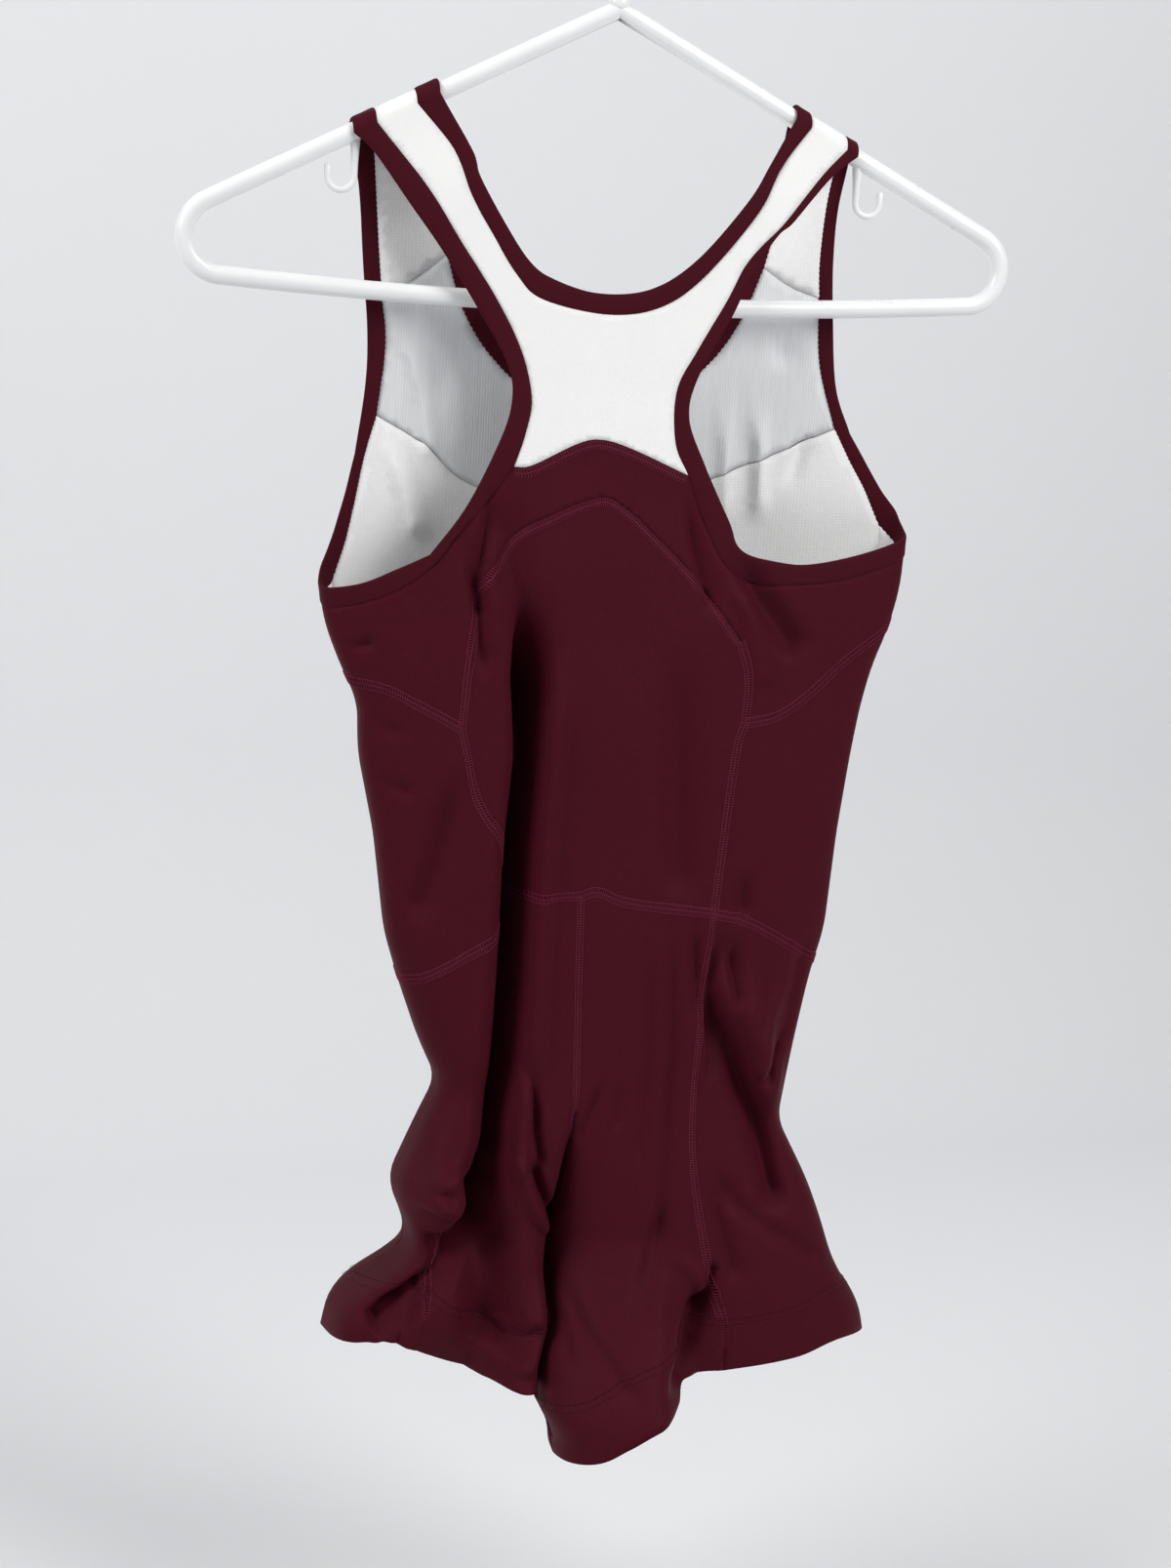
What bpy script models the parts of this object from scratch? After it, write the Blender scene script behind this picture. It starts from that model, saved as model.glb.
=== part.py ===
"""One-piece track suit hanging by its straps from a tubular clothes hanger, seen from the back.

Every table is in millimetres from the origin, the inside of the hook's crown: +X to the wearer's
right, +Z up, the garment's back towards -Y and its front towards +Y. The cloth is one ring of
sections from the underarms down, which splits into two legs at the crotch, and a back sheet and a
front sheet above the underarms, which meet over the hanger's arms. Its panels lie between seam lines
drawn on that surface, each a closed wall of its own.
"""
import math

import bmesh
import bpy
import numpy as np
from mathutils.geometry import delaunay_2d_cdt

MM = 0.001

# Hanger
APEX_Z = -70.0
ARM_SLOPE = math.radians(26.8)
HALF_SPAN = 205.5
TUBE_R = 4.5
END_R = 18.2
BAR_Z = -201.7
BAR_BOW = 8.1
HOOK_TUBE_R = 3.6
HOOK_BEND_R = 24.0
CUP_X = 126.0
CUP_BEND_R = 6.4
CUP_WIRE_R = 1.6
CUP_STEM = 21.0
CUP_TIP = 4.5
APEX_ROUND = 3.0

# Cloth
WALL = 1.3
BINDING_WALL = 1.6
SEAM_GAP = 0.3
CLOTH_R = 5.0
ARC_STEPS = 3
BODY_RING = 330.0
LEG_RING = 190.0
SIDE_BLEND = 60.0
EDGE_ROUND = 0.001
SECTION_BLUR = 7.0
LEG_BLUR = 3.0
BACK_WAIST_Z = -498.0
FRONT_WAIST_Z = -508.0
FOLD_TOP = -280.0
FOLD_FADE = 40.0
FOLD_RIM = 14.0

# How finely the solids are divided
LINE_STEP = 11.0
BACK_SPACING = 13.0
FRONT_SPACING = 20.0
FOLD_ROW_STEP = 12.0
DEEP_FOLD = 20.0
TUBE_RESOLUTION = 2
END_POINTS = 9
BAR_POINTS = 9

# Sections of the ring: height, left and right edge, depth of the back and of the front.
# Above the underarms the edges lie beyond the cloth and only shape the two sheets.
SECTION_COLUMNS = ("z", "left", "right", "back", "front")
SECTIONS = (
    (-70, -185, 185, 9, 9), (-170, -178, 178, 10, 10), (-250, -165, 172, 13, 14),
    (-305, -145, 162, 17, 18), (-330, -138, 161, 19, 20), (-345, -136, 160, 20, 22),
    (-365, -133, 155, 21, 23), (-385, -125, 147, 22, 25), (-405, -115, 142, 23, 26),
    (-430, -114, 138, 24, 27), (-470, -105, 133, 25, 28), (-520, -98, 129, 27, 30),
    (-545, -90, 122, 28, 32), (-575, -79, 116, 30, 33), (-598, -70, 112, 31, 34),
    (-620, -80, 108, 34, 35), (-655, -94, 126, 38, 37), (-680, -89, 136, 42, 38),
    (-705, -119, 148, 46, 39), (-720, -121, 157, 47, 39), (-750, -126, 163, 50, 40),
)

# The legs: their inner edges, which meet at the centre above the crotch, and how far the inner part of
# each leg swings to the back.
CROTCH_Z = -674.0
GROOVE_TOP = -590.0
LEG_COLUMNS = ("z", "left_inner", "right_inner", "left_swing", "right_swing")
LEGS = (
    (-480, -9, -5, 0, 0), (-600, -8, -4, 0, 0), (-640, -11, -7, 0, 0), (-674, -16, -12, 0, 0),
    (-690, -18, -13, -6, -8), (-712, -18, -13, -22, -28), (-730, -26, -22, -32, -40),
    (-748, -28, -24, -38, -50), (-762, -22, -17, -40, -56), (-780, -21, -16, -42, -62),
)
LEFT_SWING_REACH = (0.04, 0.22)
RIGHT_SWING_REACH = (0.25, 0.45)
JOINING = 8.0
CROTCH_OPEN = 0.12

# Folds of the back: depth in +Y, half-width on the left and on the right of the path, length of the
# taper at its ends, and the path as points of x and z.
FOLDS = {
    "long valley": (22, 14, 18, 60, ((-36, -350), (-37, -396), (-39, -434), (-42, -476), (-43, -510),
                                    (-44, -545), (-46, -590), (-51, -628), (-60, -655))),
    "leg ledge": (18, 15, 46, 26, ((-30, -640), (-60, -650), (-77, -660), (-92, -675), (-116, -697))),
    "soft valley": (8, 15, 16, 40, ((41, -370), (42, -440), (46, -505))),
    "underarm valley": (7, 10, 14, 20, ((66, -326), (75, -343), (104, -380))),
    "waist valley": (6, 10, 16, 30, ((-70, -430), (-80, -480), (-89, -515))),
    "seat valley": (11, 14, 10, 30, ((60, -545), (90, -612), (104, -666))),
    "seat ridge": (-8, 14, 16, 30, ((70, -530), (100, -600), (148, -690))),
    "swing valley": (14, 13, 13, 16, ((68, -698), (51, -718), (39, -745))),
    "left bulge": (-9, 9, 9, 12, ((-92, -640), (-62, -638))),
}

# Seam lines. A point is x and z, on the back, or on the front where a line's name starts so.
# A TOP point lies over the hanger's arm, where the front and the back meet.
TOP = None
LINES = {
    "back neck edge": ((-87, TOP), (-71, -140), (-67, -152), (-55, -172), (-42, -190), (-30, -198),
                       (-7, -204), (19, -201), (42, -186), (67, -157), (78, -139), (91, TOP)),
    "back neck cloth": ((-98, TOP), (-80, -140), (-71, -161), (-60, -179), (-48, -197), (-35, -208),
                        (-3, -214), (23, -210), (45, -195), (72, -163), (84, -140), (99, TOP)),
    "front neck edge": ((-87, TOP), (-84, -145), (-67, -190), (-59, -210), (-46, -228), (-26, -244),
                        (3, -251), (32, -244), (52, -228), (65, -210), (73, -190), (86, -145), (91, TOP)),
    "front neck cloth left": ((-98, TOP), (-93, -145), (-77, -188)),
    "front neck cloth": ((-77, -188), (-68, -214), (-53, -236), (-30, -254), (3, -261), (36, -254),
                         (59, -236), (74, -214), (84, -188)),
    "front neck cloth right": ((84, -188), (94, -145), (99, TOP)),
    "left armhole cloth": ((-117, TOP), (-93, -157), (-76, -182), (-58, -208), (-45, -232),
                           (-39, -255), (-42, -273), (-47, -288)),
    "right armhole cloth": ((118, TOP), (107, -141), (97, -153), (85, -168), (74, -179), (66, -189),
                            (58, -205), (44, -229), (34, -249), (34, -274), (41, -290)),
    "back left armhole edge": ((-128, TOP), (-118, -143), (-100, -167), (-84, -188), (-67, -213),
                               (-51, -240), (-49, -259), (-56, -280), (-70, -308), (-87, -331)),
    "back right armhole edge": ((124, TOP), (112, -142), (101, -154), (90, -167), (83, -173), (71, -191),
                                (61, -213), (45, -242), (41, -263), (51, -288)),
    "front left armhole edge": ((-119, -286), (-115, -252), (-115, -227), (-118, -198), (-122, -160),
                                (-128, TOP)),
    "front right armhole edge": ((135, -269), (126, -246), (122, -212), (120, -183), (120, -158),
                                 (124, TOP)),
    "yoke": ((-47, -288), (-38, -287), (-15, -276), (-3, -274), (12, -278), (41, -290)),
    "arc": ((-63, -347), (-46, -322), (-30, -312), (-3, -302), (11, -308), (24, -319), (48, -342),
            (71, -371)),
    "left princess upper": ((-69, -415), (-66, -380), (-63, -347)),
    "left princess": ((-69, -415), (-60, -451), (-50, -476), (-43, -510)),
    "right princess upper": ((75, -412), (76, -388), (71, -371)),
    "right princess": ((75, -412), (71, -426), (66, -475), (63, -508)),
    "left waist": ((-43, -510), (-62, -527), (-83, -540)),
    "centre waist": ((-43, -510), (-36, -500), (-7, BACK_WAIST_Z)),
    "right centre waist": ((-7, BACK_WAIST_Z), (2, -496), (19, -502), (63, -508)),
    "right waist": ((63, -508), (84, -514), (118, -533)),
    "left outer leg": ((-43, -510), (-44, -545), (-46, -590), (-51, -628), (-64, -668), (-76, -690),
                       (-84, -725)),
    "right outer leg": ((63, -508), (58, -562), (55, -627), (63, -682), (72, -714), (73, -741)),
    "front lower seam": ((-109, -267), (-84, -281), (-59, -300), (8, -322), (67, -293), (96, -281),
                         (127, -267)),
    "front left opaque": ((-77, -188), (-95, -202), (-109, -208)),
    "front right opaque": ((84, -188), (99, -197), (114, -202)),
    "front left cloth top": ((-117, TOP), (-114, -158), (-112, -178), (-109, -208)),
    "front left cloth": ((-109, -208), (-106, -233), (-109, -267)),
    "front right cloth top": ((118, TOP), (114, -155), (113, -184), (114, -202)),
    "front right cloth": ((114, -202), (117, -235), (127, -267)),
}

# Lines that run round the cloth's side edges. A ring point is a length round the section from the
# left edge, or from the right leg's inner edge, which is below 0 or over the width on the front.
WRAP = 15.0
LEFT_HEM_INSIDE = -741.0
RIGHT_HEM_INSIDE = -774.0
BACK, FRONT, RING = "back", "front", "ring"
RIGHT_WRAP = BODY_RING + WRAP
LEG_WRAP = LEG_RING + WRAP
RING_LINES = {
    "left armhole lower": ("body", (
        (BACK, -47, -288), (BACK, -58, -303), (BACK, -74, -322), (BACK, -86, -337), (BACK, -103, -349),
        (BACK, -122, -356), (RING, 0, -358), (RING, -WRAP, -348))),
    "left front lower": ("body", ((RING, -WRAP, -348), (FRONT, -121, -322), (FRONT, -115, -290),
                                  (FRONT, -109, -267))),
    "right armhole lower": ("body", (
        (BACK, 41, -290), (BACK, 50, -312), (BACK, 60, -332), (BACK, 75, -342), (BACK, 95, -343),
        (BACK, 120, -341), (BACK, 144, -335), (RING, BODY_RING, -327), (RING, RIGHT_WRAP, -315))),
    "right front lower": ("body", ((RING, RIGHT_WRAP, -315), (FRONT, 145, -298), (FRONT, 136, -283),
                                   (FRONT, 127, -267))),
    "left armhole edge lower": ("body", (
        (BACK, -87, -331), (BACK, -102, -338), (BACK, -121, -346), (RING, 0, -348), (RING, -10, -338),
        (FRONT, -125, -312), (FRONT, -119, -286))),
    "right armhole edge lower": ("body", (
        (BACK, 51, -288), (BACK, 63, -312), (BACK, 70, -326), (BACK, 92, -332), (BACK, 111, -332),
        (BACK, 143, -325), (RING, BODY_RING, -316), (RING, BODY_RING + 8, -306), (FRONT, 151, -294),
        (FRONT, 135, -269))),
    "left side": ("body", ((BACK, -69, -415), (BACK, -90, -404), (BACK, -107, -396), (RING, 0, -393),
                           (RING, -WRAP, -392))),
    "right side": ("body", ((BACK, 75, -412), (BACK, 93, -408), (BACK, 111, -396), (BACK, 134, -377),
                            (RING, BODY_RING, -360), (RING, RIGHT_WRAP, -354))),
    "left waist wrap": ("left leg", ((BACK, -83, -540), (RING, 0, -543), (RING, -WRAP, -541))),
    "right waist wrap": ("right leg", ((BACK, 118, -533), (RING, LEG_RING, -538), (RING, LEG_WRAP, -536))),
    "left hem": ("left leg", ((BACK, -84, -725), (BACK, -105, -721), (RING, 0, -726),
                              (RING, -WRAP, -728))),
    "left seat hem": ("left leg", ((BACK, -84, -725), (BACK, -62, -734), (BACK, -44, -740),
                                   (RING, LEG_RING, LEFT_HEM_INSIDE))),
    "right hem": ("right leg", ((BACK, 73, -741), (BACK, 112, -737), (BACK, 140, -731),
                                (RING, LEG_RING, -737), (RING, LEG_WRAP, -741))),
    "right seat hem": ("right leg", ((BACK, 73, -741), (BACK, 58, -741), (BACK, 46, -744), (BACK, 30, -749),
                                     (BACK, 10, -759), (BACK, -6, -768), (RING, 0, RIGHT_HEM_INSIDE))),
    "left wrap upper": ("body", ((RING, -WRAP, -348), (RING, -WRAP, -392))),
    "left wrap": ("body", ((RING, -WRAP, -392), (RING, -WRAP - 4, -541))),
    "right wrap upper": ("body", ((RING, RIGHT_WRAP, -315), (RING, RIGHT_WRAP, -354))),
    "right wrap": ("body", ((RING, RIGHT_WRAP, -354), (RING, RIGHT_WRAP + 4, -536))),
    "left leg wrap": ("left leg", ((RING, -WRAP, -541), (RING, -WRAP, -728))),
    "right leg wrap": ("right leg", ((RING, LEG_WRAP, -536), (RING, LEG_WRAP, -741))),
    "front left waist": ("body", ((RING, 2 * BODY_RING - WRAP - 4, -541), (FRONT, -50, -515),
                                  (FRONT, -7, FRONT_WAIST_Z))),
    "front right waist": ("body", ((RING, RIGHT_WRAP + 4, -536), (FRONT, 60, -512),
                                    (FRONT, -7, FRONT_WAIST_Z))),
    "left front hem": ("left leg", ((RING, 2 * LEG_RING - WRAP, -728), (FRONT, -60, -738),
                                    (FRONT, -38, -741), (RING, LEG_RING + EDGE_ROUND, LEFT_HEM_INSIDE))),
    "right front hem": ("right leg", ((RING, LEG_WRAP, -741), (FRONT, 110, -744), (FRONT, 30, -757),
                                      (RING, 2 * LEG_RING - EDGE_ROUND, RIGHT_HEM_INSIDE))),
}

# The panels: ring, material, wall, and the lines round them in order. A minus sign runs a line
# backwards, and a panel whose ring name starts with "front" lies wholly on the front.
PANELS = {
    "back_yoke": ("body", "white", WALL, (
        "back neck cloth", "right armhole cloth", "-yoke", "-left armhole cloth")),
    "back_upper_band": ("body", "maroon", WALL, (
        "yoke", "right armhole lower", "right wrap upper", "-right side", "right princess upper", "-arc",
        "-left princess upper", "left side", "-left wrap upper", "-left armhole lower")),
    "back_center": ("body", "maroon", WALL, (
        "arc", "-right princess upper", "right princess", "-right centre waist", "-centre waist",
        "-left princess", "left princess upper")),
    "side_panel_left": ("body", "maroon", WALL, (
        "left side", "left wrap", "-left waist wrap", "-left waist", "-left princess")),
    "side_panel_right": ("body", "maroon", WALL, (
        "right side", "right wrap", "-right waist wrap", "-right waist", "-right princess")),
    "seat_panel_left": ("left leg", "maroon", WALL, (
        "centre waist", "centre back", "left inseam", "-left seat hem", "-left outer leg")),
    "seat_panel_right": ("right leg", "maroon", WALL, (
        "right centre waist", "right outer leg", "right seat hem", "-right inseam", "-centre back")),
    "outer_leg_panel_left": ("left leg", "maroon", WALL, (
        "left waist", "left waist wrap", "left leg wrap", "-left hem", "-left outer leg")),
    "outer_leg_panel_right": ("right leg", "maroon", WALL, (
        "right waist", "right waist wrap", "right leg wrap", "-right hem", "-right outer leg")),
    "front_strap_left": ("front body", "white", WALL, (
        "front neck cloth left", "front left opaque", "-front left cloth top")),
    "front_strap_right": ("front body", "white", WALL, (
        "front neck cloth right", "front right cloth top", "-front right opaque")),
    "front_mesh": ("front body", "mesh", WALL, (
        "front neck cloth", "front right opaque", "front right cloth", "-front lower seam",
        "-front left cloth", "-front left opaque")),
    "front_body": ("front body", "maroon", WALL, (
        "front lower seam", "-right front lower", "right wrap upper", "right wrap", "front right waist",
        "-front left waist", "-left wrap", "-left wrap upper", "left front lower")),
    "front_leg_left": ("front left leg", "maroon", WALL, (
        "front left waist", "centre front", "left inseam", "-left front hem", "-left leg wrap")),
    "front_leg_right": ("front right leg", "maroon", WALL, (
        "-front right waist", "right leg wrap", "right front hem", "-right inseam", "-centre front")),
    "neck_binding_back": ("body", "binding", BINDING_WALL, ("back neck edge", "-back neck cloth")),
    "neck_binding_front": ("front body", "binding", BINDING_WALL, (
        "front neck edge", "-front neck cloth right", "-front neck cloth", "-front neck cloth left")),
    "armhole_binding_left": ("body", "binding", BINDING_WALL, (
        "back left armhole edge", "left armhole edge lower", "front left armhole edge",
        "front left cloth top", "front left cloth", "-left front lower", "-left armhole lower",
        "-left armhole cloth")),
    "armhole_binding_right": ("body", "binding", BINDING_WALL, (
        "back right armhole edge", "right armhole edge lower", "front right armhole edge",
        "front right cloth top", "front right cloth", "-right front lower", "-right armhole lower",
        "-right armhole cloth")),
}
MATERIALS = {
    "maroon": ((0.085, 0.012, 0.024), 0.62), "binding": ((0.060, 0.010, 0.020), 0.66),
    "white": ((0.86, 0.86, 0.86), 0.70), "mesh": ((0.62, 0.64, 0.66), 0.75),
    "hanger white": ((0.88, 0.89, 0.90), 0.30),
}


def column(table, names, name, z, blur):
    """A table's column at height z, read between its rows and rounded off at them."""
    rows = np.array(table, float)[::-1]
    index = names.index(name)
    z = np.asarray(z, float)
    shifts = (-1.0, -0.5, 0.0, 0.5, 1.0)
    return sum(np.interp(z + s * blur, rows[:, 0], rows[:, index]) for s in shifts) / len(shifts)


def ease(value):
    value = np.clip(value, 0.0, 1.0)
    return value * value * (3.0 - 2.0 * value)


def round_off(t):
    """The section's depth across its width: flat in the middle and round at both edges."""
    return (1.0 - np.minimum(np.abs(t), 1.0) ** 3) ** (1.0 / 3.0)


def section(name, z):
    return column(SECTIONS, SECTION_COLUMNS, name, z, SECTION_BLUR)


def leg(name, z):
    return column(LEGS, LEG_COLUMNS, name, z, LEG_BLUR)


def side_edges(z):
    return section("left", z), section("right", z)


def inner_edges(z):
    return leg("left_inner", z), leg("right_inner", z)


def arm_height(x):
    return APEX_Z - np.abs(x) * math.tan(ARM_SLOPE)


QUARTER = math.pi / 2 * CLOTH_R / math.cos(ARM_SLOPE)


def swing(x, z):
    """How far the inner parts of the legs swing to the back."""
    left_inner, right_inner = inner_edges(z)
    left, right = side_edges(z)
    parts = []
    for name, share, (full, none) in (
            ("left_swing", (left_inner - x) / (left_inner - left), LEFT_SWING_REACH),
            ("right_swing", (x - right_inner) / (right - right_inner), RIGHT_SWING_REACH)):
        parts.append(leg(name, z) * (1.0 - ease((share - full) / (none - full))))
    return np.where(x > (left_inner + right_inner) / 2, parts[1], parts[0])


def plain_depth(x, z, side):
    """Y of the cloth's inner face without folds; side is -1 on the back and 1 on the front."""
    left, right = side_edges(z)
    inner_left, inner_right = inner_edges(z)
    body = round_off((x - (left + right) / 2) / ((right - left) / 2))
    left_leg = round_off(2 * (x - left) / (inner_left - left) - 1)
    right_leg = round_off(2 * (x - inner_right) / (right - inner_right) - 1)
    legs = np.where(x <= inner_left, left_leg, np.where(x >= inner_right, right_leg, 0.0))
    split = ((1 - CROTCH_OPEN) * ease((GROOVE_TOP - z) / (GROOVE_TOP - CROTCH_Z))
             + CROTCH_OPEN * ease((CROTCH_Z - z) / JOINING))
    depth = np.where(np.asarray(side) < 0, section("back", z), section("front", z))
    hang = ease((arm_height(x) - z) / SIDE_BLEND)
    depth = CLOTH_R * (1 - hang) + depth * hang * ((1 - split) * body + split * legs)
    return side * depth + swing(x, z)


def fold_push(x, z):
    """The sum of the folds at points of the back, towards the inside of the garment."""
    total = np.zeros(np.shape(x))
    for depth, left_half, right_half, end_taper, path in FOLDS.values():
        best = np.full(np.shape(x), 1e9)
        signed = np.zeros(np.shape(x))
        along = np.zeros(np.shape(x))
        run = 0.0
        for (x0, z0), (x1, z1) in zip(path, path[1:]):
            length = math.hypot(x1 - x0, z1 - z0)
            ux, uz = (x1 - x0) / length, (z1 - z0) / length
            step = np.clip((x - x0) * ux + (z - z0) * uz, 0.0, length)
            dx, dz = x - x0 - step * ux, z - z0 - step * uz
            distance = np.hypot(dx, dz)
            nearer = distance < best
            best = np.where(nearer, distance, best)
            signed = np.where(nearer, uz * dx - ux * dz, signed)
            along = np.where(nearer, run + step, along)
            run += length
        half = np.where(signed < 0, right_half, left_half)
        ends = ease(along / end_taper) * ease((run - along) / end_taper * 2.0)
        total = total + depth * ends * (0.5 + 0.5 * np.cos(math.pi * np.minimum(best / half, 1.0)))
    return total


def surface(x, z, side):
    """Points of the cloth's inner face. Above the arm, z is the length along the cloth over it."""
    x, z, side = np.broadcast_arrays(np.asarray(x, float), z, side)
    y = plain_depth(x, z, side)
    left, right = side_edges(z)
    shoulder = ease((FOLD_TOP - z) / FOLD_FADE)
    rim = ease((x - left) / FOLD_RIM) * ease((right - x) / FOLD_RIM)
    y = y + np.where(side < 0, fold_push(x, z), 0.0) * shoulder * rim
    over = np.clip(z - arm_height(x), 0.0, QUARTER)
    angle = over / QUARTER * math.pi / 2
    top = over > 0
    y = np.where(top, side * CLOTH_R * np.cos(angle), y)
    height = np.where(top, arm_height(x) + CLOTH_R / math.cos(ARM_SLOPE) * np.sin(angle), z)
    return np.stack([x, y, height], -1)


def ring_edges(ring, z):
    """Where a ring's back starts and ends; the legs' rings meet at the centre above the crotch."""
    left, right = side_edges(z)
    inner_left, inner_right = inner_edges(z)
    half_gap = (inner_right - inner_left) / 2 * ease((z - CROTCH_Z + JOINING) / JOINING)
    if ring == "body":
        return left, right
    if ring == "left leg":
        return left, inner_left + half_gap
    return inner_right - half_gap, right


def ring_width(ring):
    return BODY_RING if ring == "body" else LEG_RING


def ring_run(ring, z, side, steps=64):
    """For each height, places across the section and the length along it, scaled to the ring's width."""
    z, side = np.broadcast_arrays(np.atleast_1d(np.asarray(z, float)), side)
    first, last = ring_edges(ring, z)
    share = (1 - np.cos(np.linspace(0, math.pi, steps))) / 2
    x = first[:, None] + (last - first)[:, None] * share
    y = plain_depth(x, z[:, None], side[:, None])
    lengths = np.hypot(np.diff(x, axis=1), np.diff(y, axis=1))
    run = np.concatenate([np.zeros((len(z), 1)), np.cumsum(lengths, axis=1)], axis=1)
    return x, run / run[:, -1:] * ring_width(ring)


def unroll(ring, x, z, side, near):
    """The ring coordinate of a point, 0 to the width across the back; near picks it on the front."""
    places, run = ring_run(ring, z, side)
    r = float(np.interp(x, places[0], run[0]))
    return r if side < 0 else min(-r, 2 * ring_width(ring) - r, key=lambda value: abs(value - near))


def roll(ring, r, z):
    """The x and the side of each ring coordinate."""
    width = ring_width(ring)
    r = np.atleast_1d(np.asarray(r, float)) % (2 * width)
    side = np.where(r <= width, -1, 1)
    places, run = ring_run(ring, z, side)
    back = np.minimum(r, 2 * width - r)
    return np.array([np.interp(*row) for row in zip(back, run, places)]), side


def spline(points, step):
    """A Catmull-Rom curve through the points, with a sample about every step."""
    points = np.array(points, float)
    ends = np.vstack([2 * points[0] - points[1], points, 2 * points[-1] - points[-2]])
    curve = []
    for p0, p1, p2, p3 in zip(ends, ends[1:], ends[2:], ends[3:]):
        for t in np.linspace(0, 1, 12, endpoint=False):
            curve.append(0.5 * (2 * p1 + (p2 - p0) * t + (2 * p0 - 5 * p1 + 4 * p2 - p3) * t * t
                                + (3 * p1 - p0 - 3 * p2 + p3) * t ** 3))
    curve = np.vstack([curve, points[-1:]])
    run = np.concatenate([[0.0], np.cumsum(np.linalg.norm(np.diff(curve, axis=0), axis=1))])
    places = np.linspace(0, run[-1], max(1, round(run[-1] / step)) + 1)
    return np.stack([np.interp(places, run, curve[:, k]) for k in range(2)], -1)


def over_arm(x):
    """Points over the hanger's arm, from the arm's height to the top."""
    return [(x, float(arm_height(x)) + s) for s in np.linspace(0, QUARTER, ARC_STEPS + 1)]


def flat_line(points, side, step):
    """A seam line on one side as samples of x, z and side."""
    points = list(points)
    head = over_arm(points[0][0])[::-1] if points[0][1] is TOP else []
    tail = over_arm(points[-1][0]) if points[-1][1] is TOP else []
    if head:
        points[0] = head[-1]
    if tail:
        points[-1] = tail[0]
    middle = [tuple(p) for p in spline(points, step)]
    return [(x, z, side) for x, z in head[:-1] + middle + tail[1:]]


def ring_line(ring, points, step):
    """A seam line drawn smooth round the ring, also over its edges."""
    flat = []
    for kind, a, z in points:
        near = flat[-1][0] if flat else 0.0
        flat.append((a if kind == RING else unroll(ring, a, z, -1 if kind == BACK else 1, near), z))
    r, z = spline(flat, step).T
    x, side = roll(ring, r, z)
    return [(float(a), float(b), int(c)) for a, b, c in zip(x, z, side)]


def centre_lines(step):
    """The centre seams down to the crotch, and the inner seams from there to the hems."""
    lines = {}
    for name, side, top in (("centre back", -1, BACK_WAIST_Z), ("centre front", 1, FRONT_WAIST_Z)):
        heights = np.linspace(top, CROTCH_Z, round((top - CROTCH_Z) / step) + 1)
        lines[name] = [(float(sum(inner_edges(z))) / 2, z, side) for z in heights]
    for name, ring, index, bottom in (("left inseam", "left leg", 1, LEFT_HEM_INSIDE),
                                      ("right inseam", "right leg", 0, RIGHT_HEM_INSIDE)):
        heights = np.linspace(CROTCH_Z, bottom, round((CROTCH_Z - bottom) / step) + 1)
        lines[name] = [(float(ring_edges(ring, z)[index]), z, -1) for z in heights]
    return lines


def snap_ends(lines, reach=3.0):
    """Gives lines that meet below the arms one common point."""
    meeting = []
    for name in sorted(lines):
        for index in (0, -1):
            x, z, side = lines[name][index]
            if z > arm_height(x) + 1.0:
                continue
            point = surface(x, z, side)
            for other, sample in meeting:
                if np.linalg.norm(other - point) < reach:
                    lines[name][index] = sample
                    break
            else:
                meeting.append((point, lines[name][index]))
    return lines


def all_lines(step):
    lines = {}
    for name, points in LINES.items():
        lines[name] = flat_line(points, 1 if name.startswith("front") else -1, step)
    for name, (ring, points) in RING_LINES.items():
        lines[name] = ring_line(ring, points, step)
    lines.update(centre_lines(step))
    return snap_ends(lines)


def outline_of(ring, names, lines):
    """A panel's outline in ring coordinates, counter-clockwise."""
    front = ring.startswith("front ")
    ring = ring.replace("front ", "")
    near = ring_width(ring) * (1.5 if front else 0.5)
    outline = []
    for name in names:
        line = lines[name[1:]][::-1] if name.startswith("-") else lines[name]
        for x, z, side in line:
            point = (unroll(ring, x, z, 1 if front else side, near), z)
            if not outline or math.dist(outline[-1], point) > 0.5:
                outline.append(point)
    if math.dist(outline[0], outline[-1]) < 0.5:
        outline.pop()
    outline = np.array(outline)
    after = np.roll(outline, -1, 0)
    area = np.sum(outline[:, 0] * after[:, 1] - outline[:, 1] * after[:, 0])
    return ring, (outline if area > 0 else outline[::-1])


def inset(outline, distance):
    """The outline moved inwards, so that panels stay a seam gap apart."""
    moved = []
    for before, point, after in zip(np.roll(outline, 1, 0), outline, np.roll(outline, -1, 0)):
        a = (point - before) / np.linalg.norm(point - before)
        b = (after - point) / np.linalg.norm(after - point)
        normal_a, normal_b = np.array((-a[1], a[0])), np.array((-b[1], b[0]))
        bisector = normal_a + normal_b
        length = np.linalg.norm(bisector)
        if length < 0.3:
            moved.append(point + (b - a) / np.linalg.norm(b - a) * distance)
            continue
        bisector = bisector / length
        moved.append(point + bisector * distance / max(float(bisector @ normal_a), 0.35))
    return np.array(moved)


def spread(points, outline, clearance):
    """Those of the points that lie inside the outline and clear of it."""
    points = np.array(points, float).reshape(-1, 2)
    crossings = np.zeros(len(points), int)
    nearest = np.full(len(points), 1e9)
    for (x0, y0), (x1, y1) in zip(outline, np.roll(outline, -1, 0)):
        spans = (y0 > points[:, 1]) != (y1 > points[:, 1])
        height = y1 - y0 if y1 != y0 else 1e-9
        crossings += spans & (points[:, 0] < x0 + (points[:, 1] - y0) / height * (x1 - x0))
        run = np.array((x1 - x0, y1 - y0))
        share = np.clip(((points - (x0, y0)) @ run) / (run @ run), 0, 1)
        nearest = np.minimum(nearest, np.linalg.norm(points - (x0, y0) - share[:, None] * run, axis=1))
    return points[(crossings % 2 == 1) & (nearest > clearance)]


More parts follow.
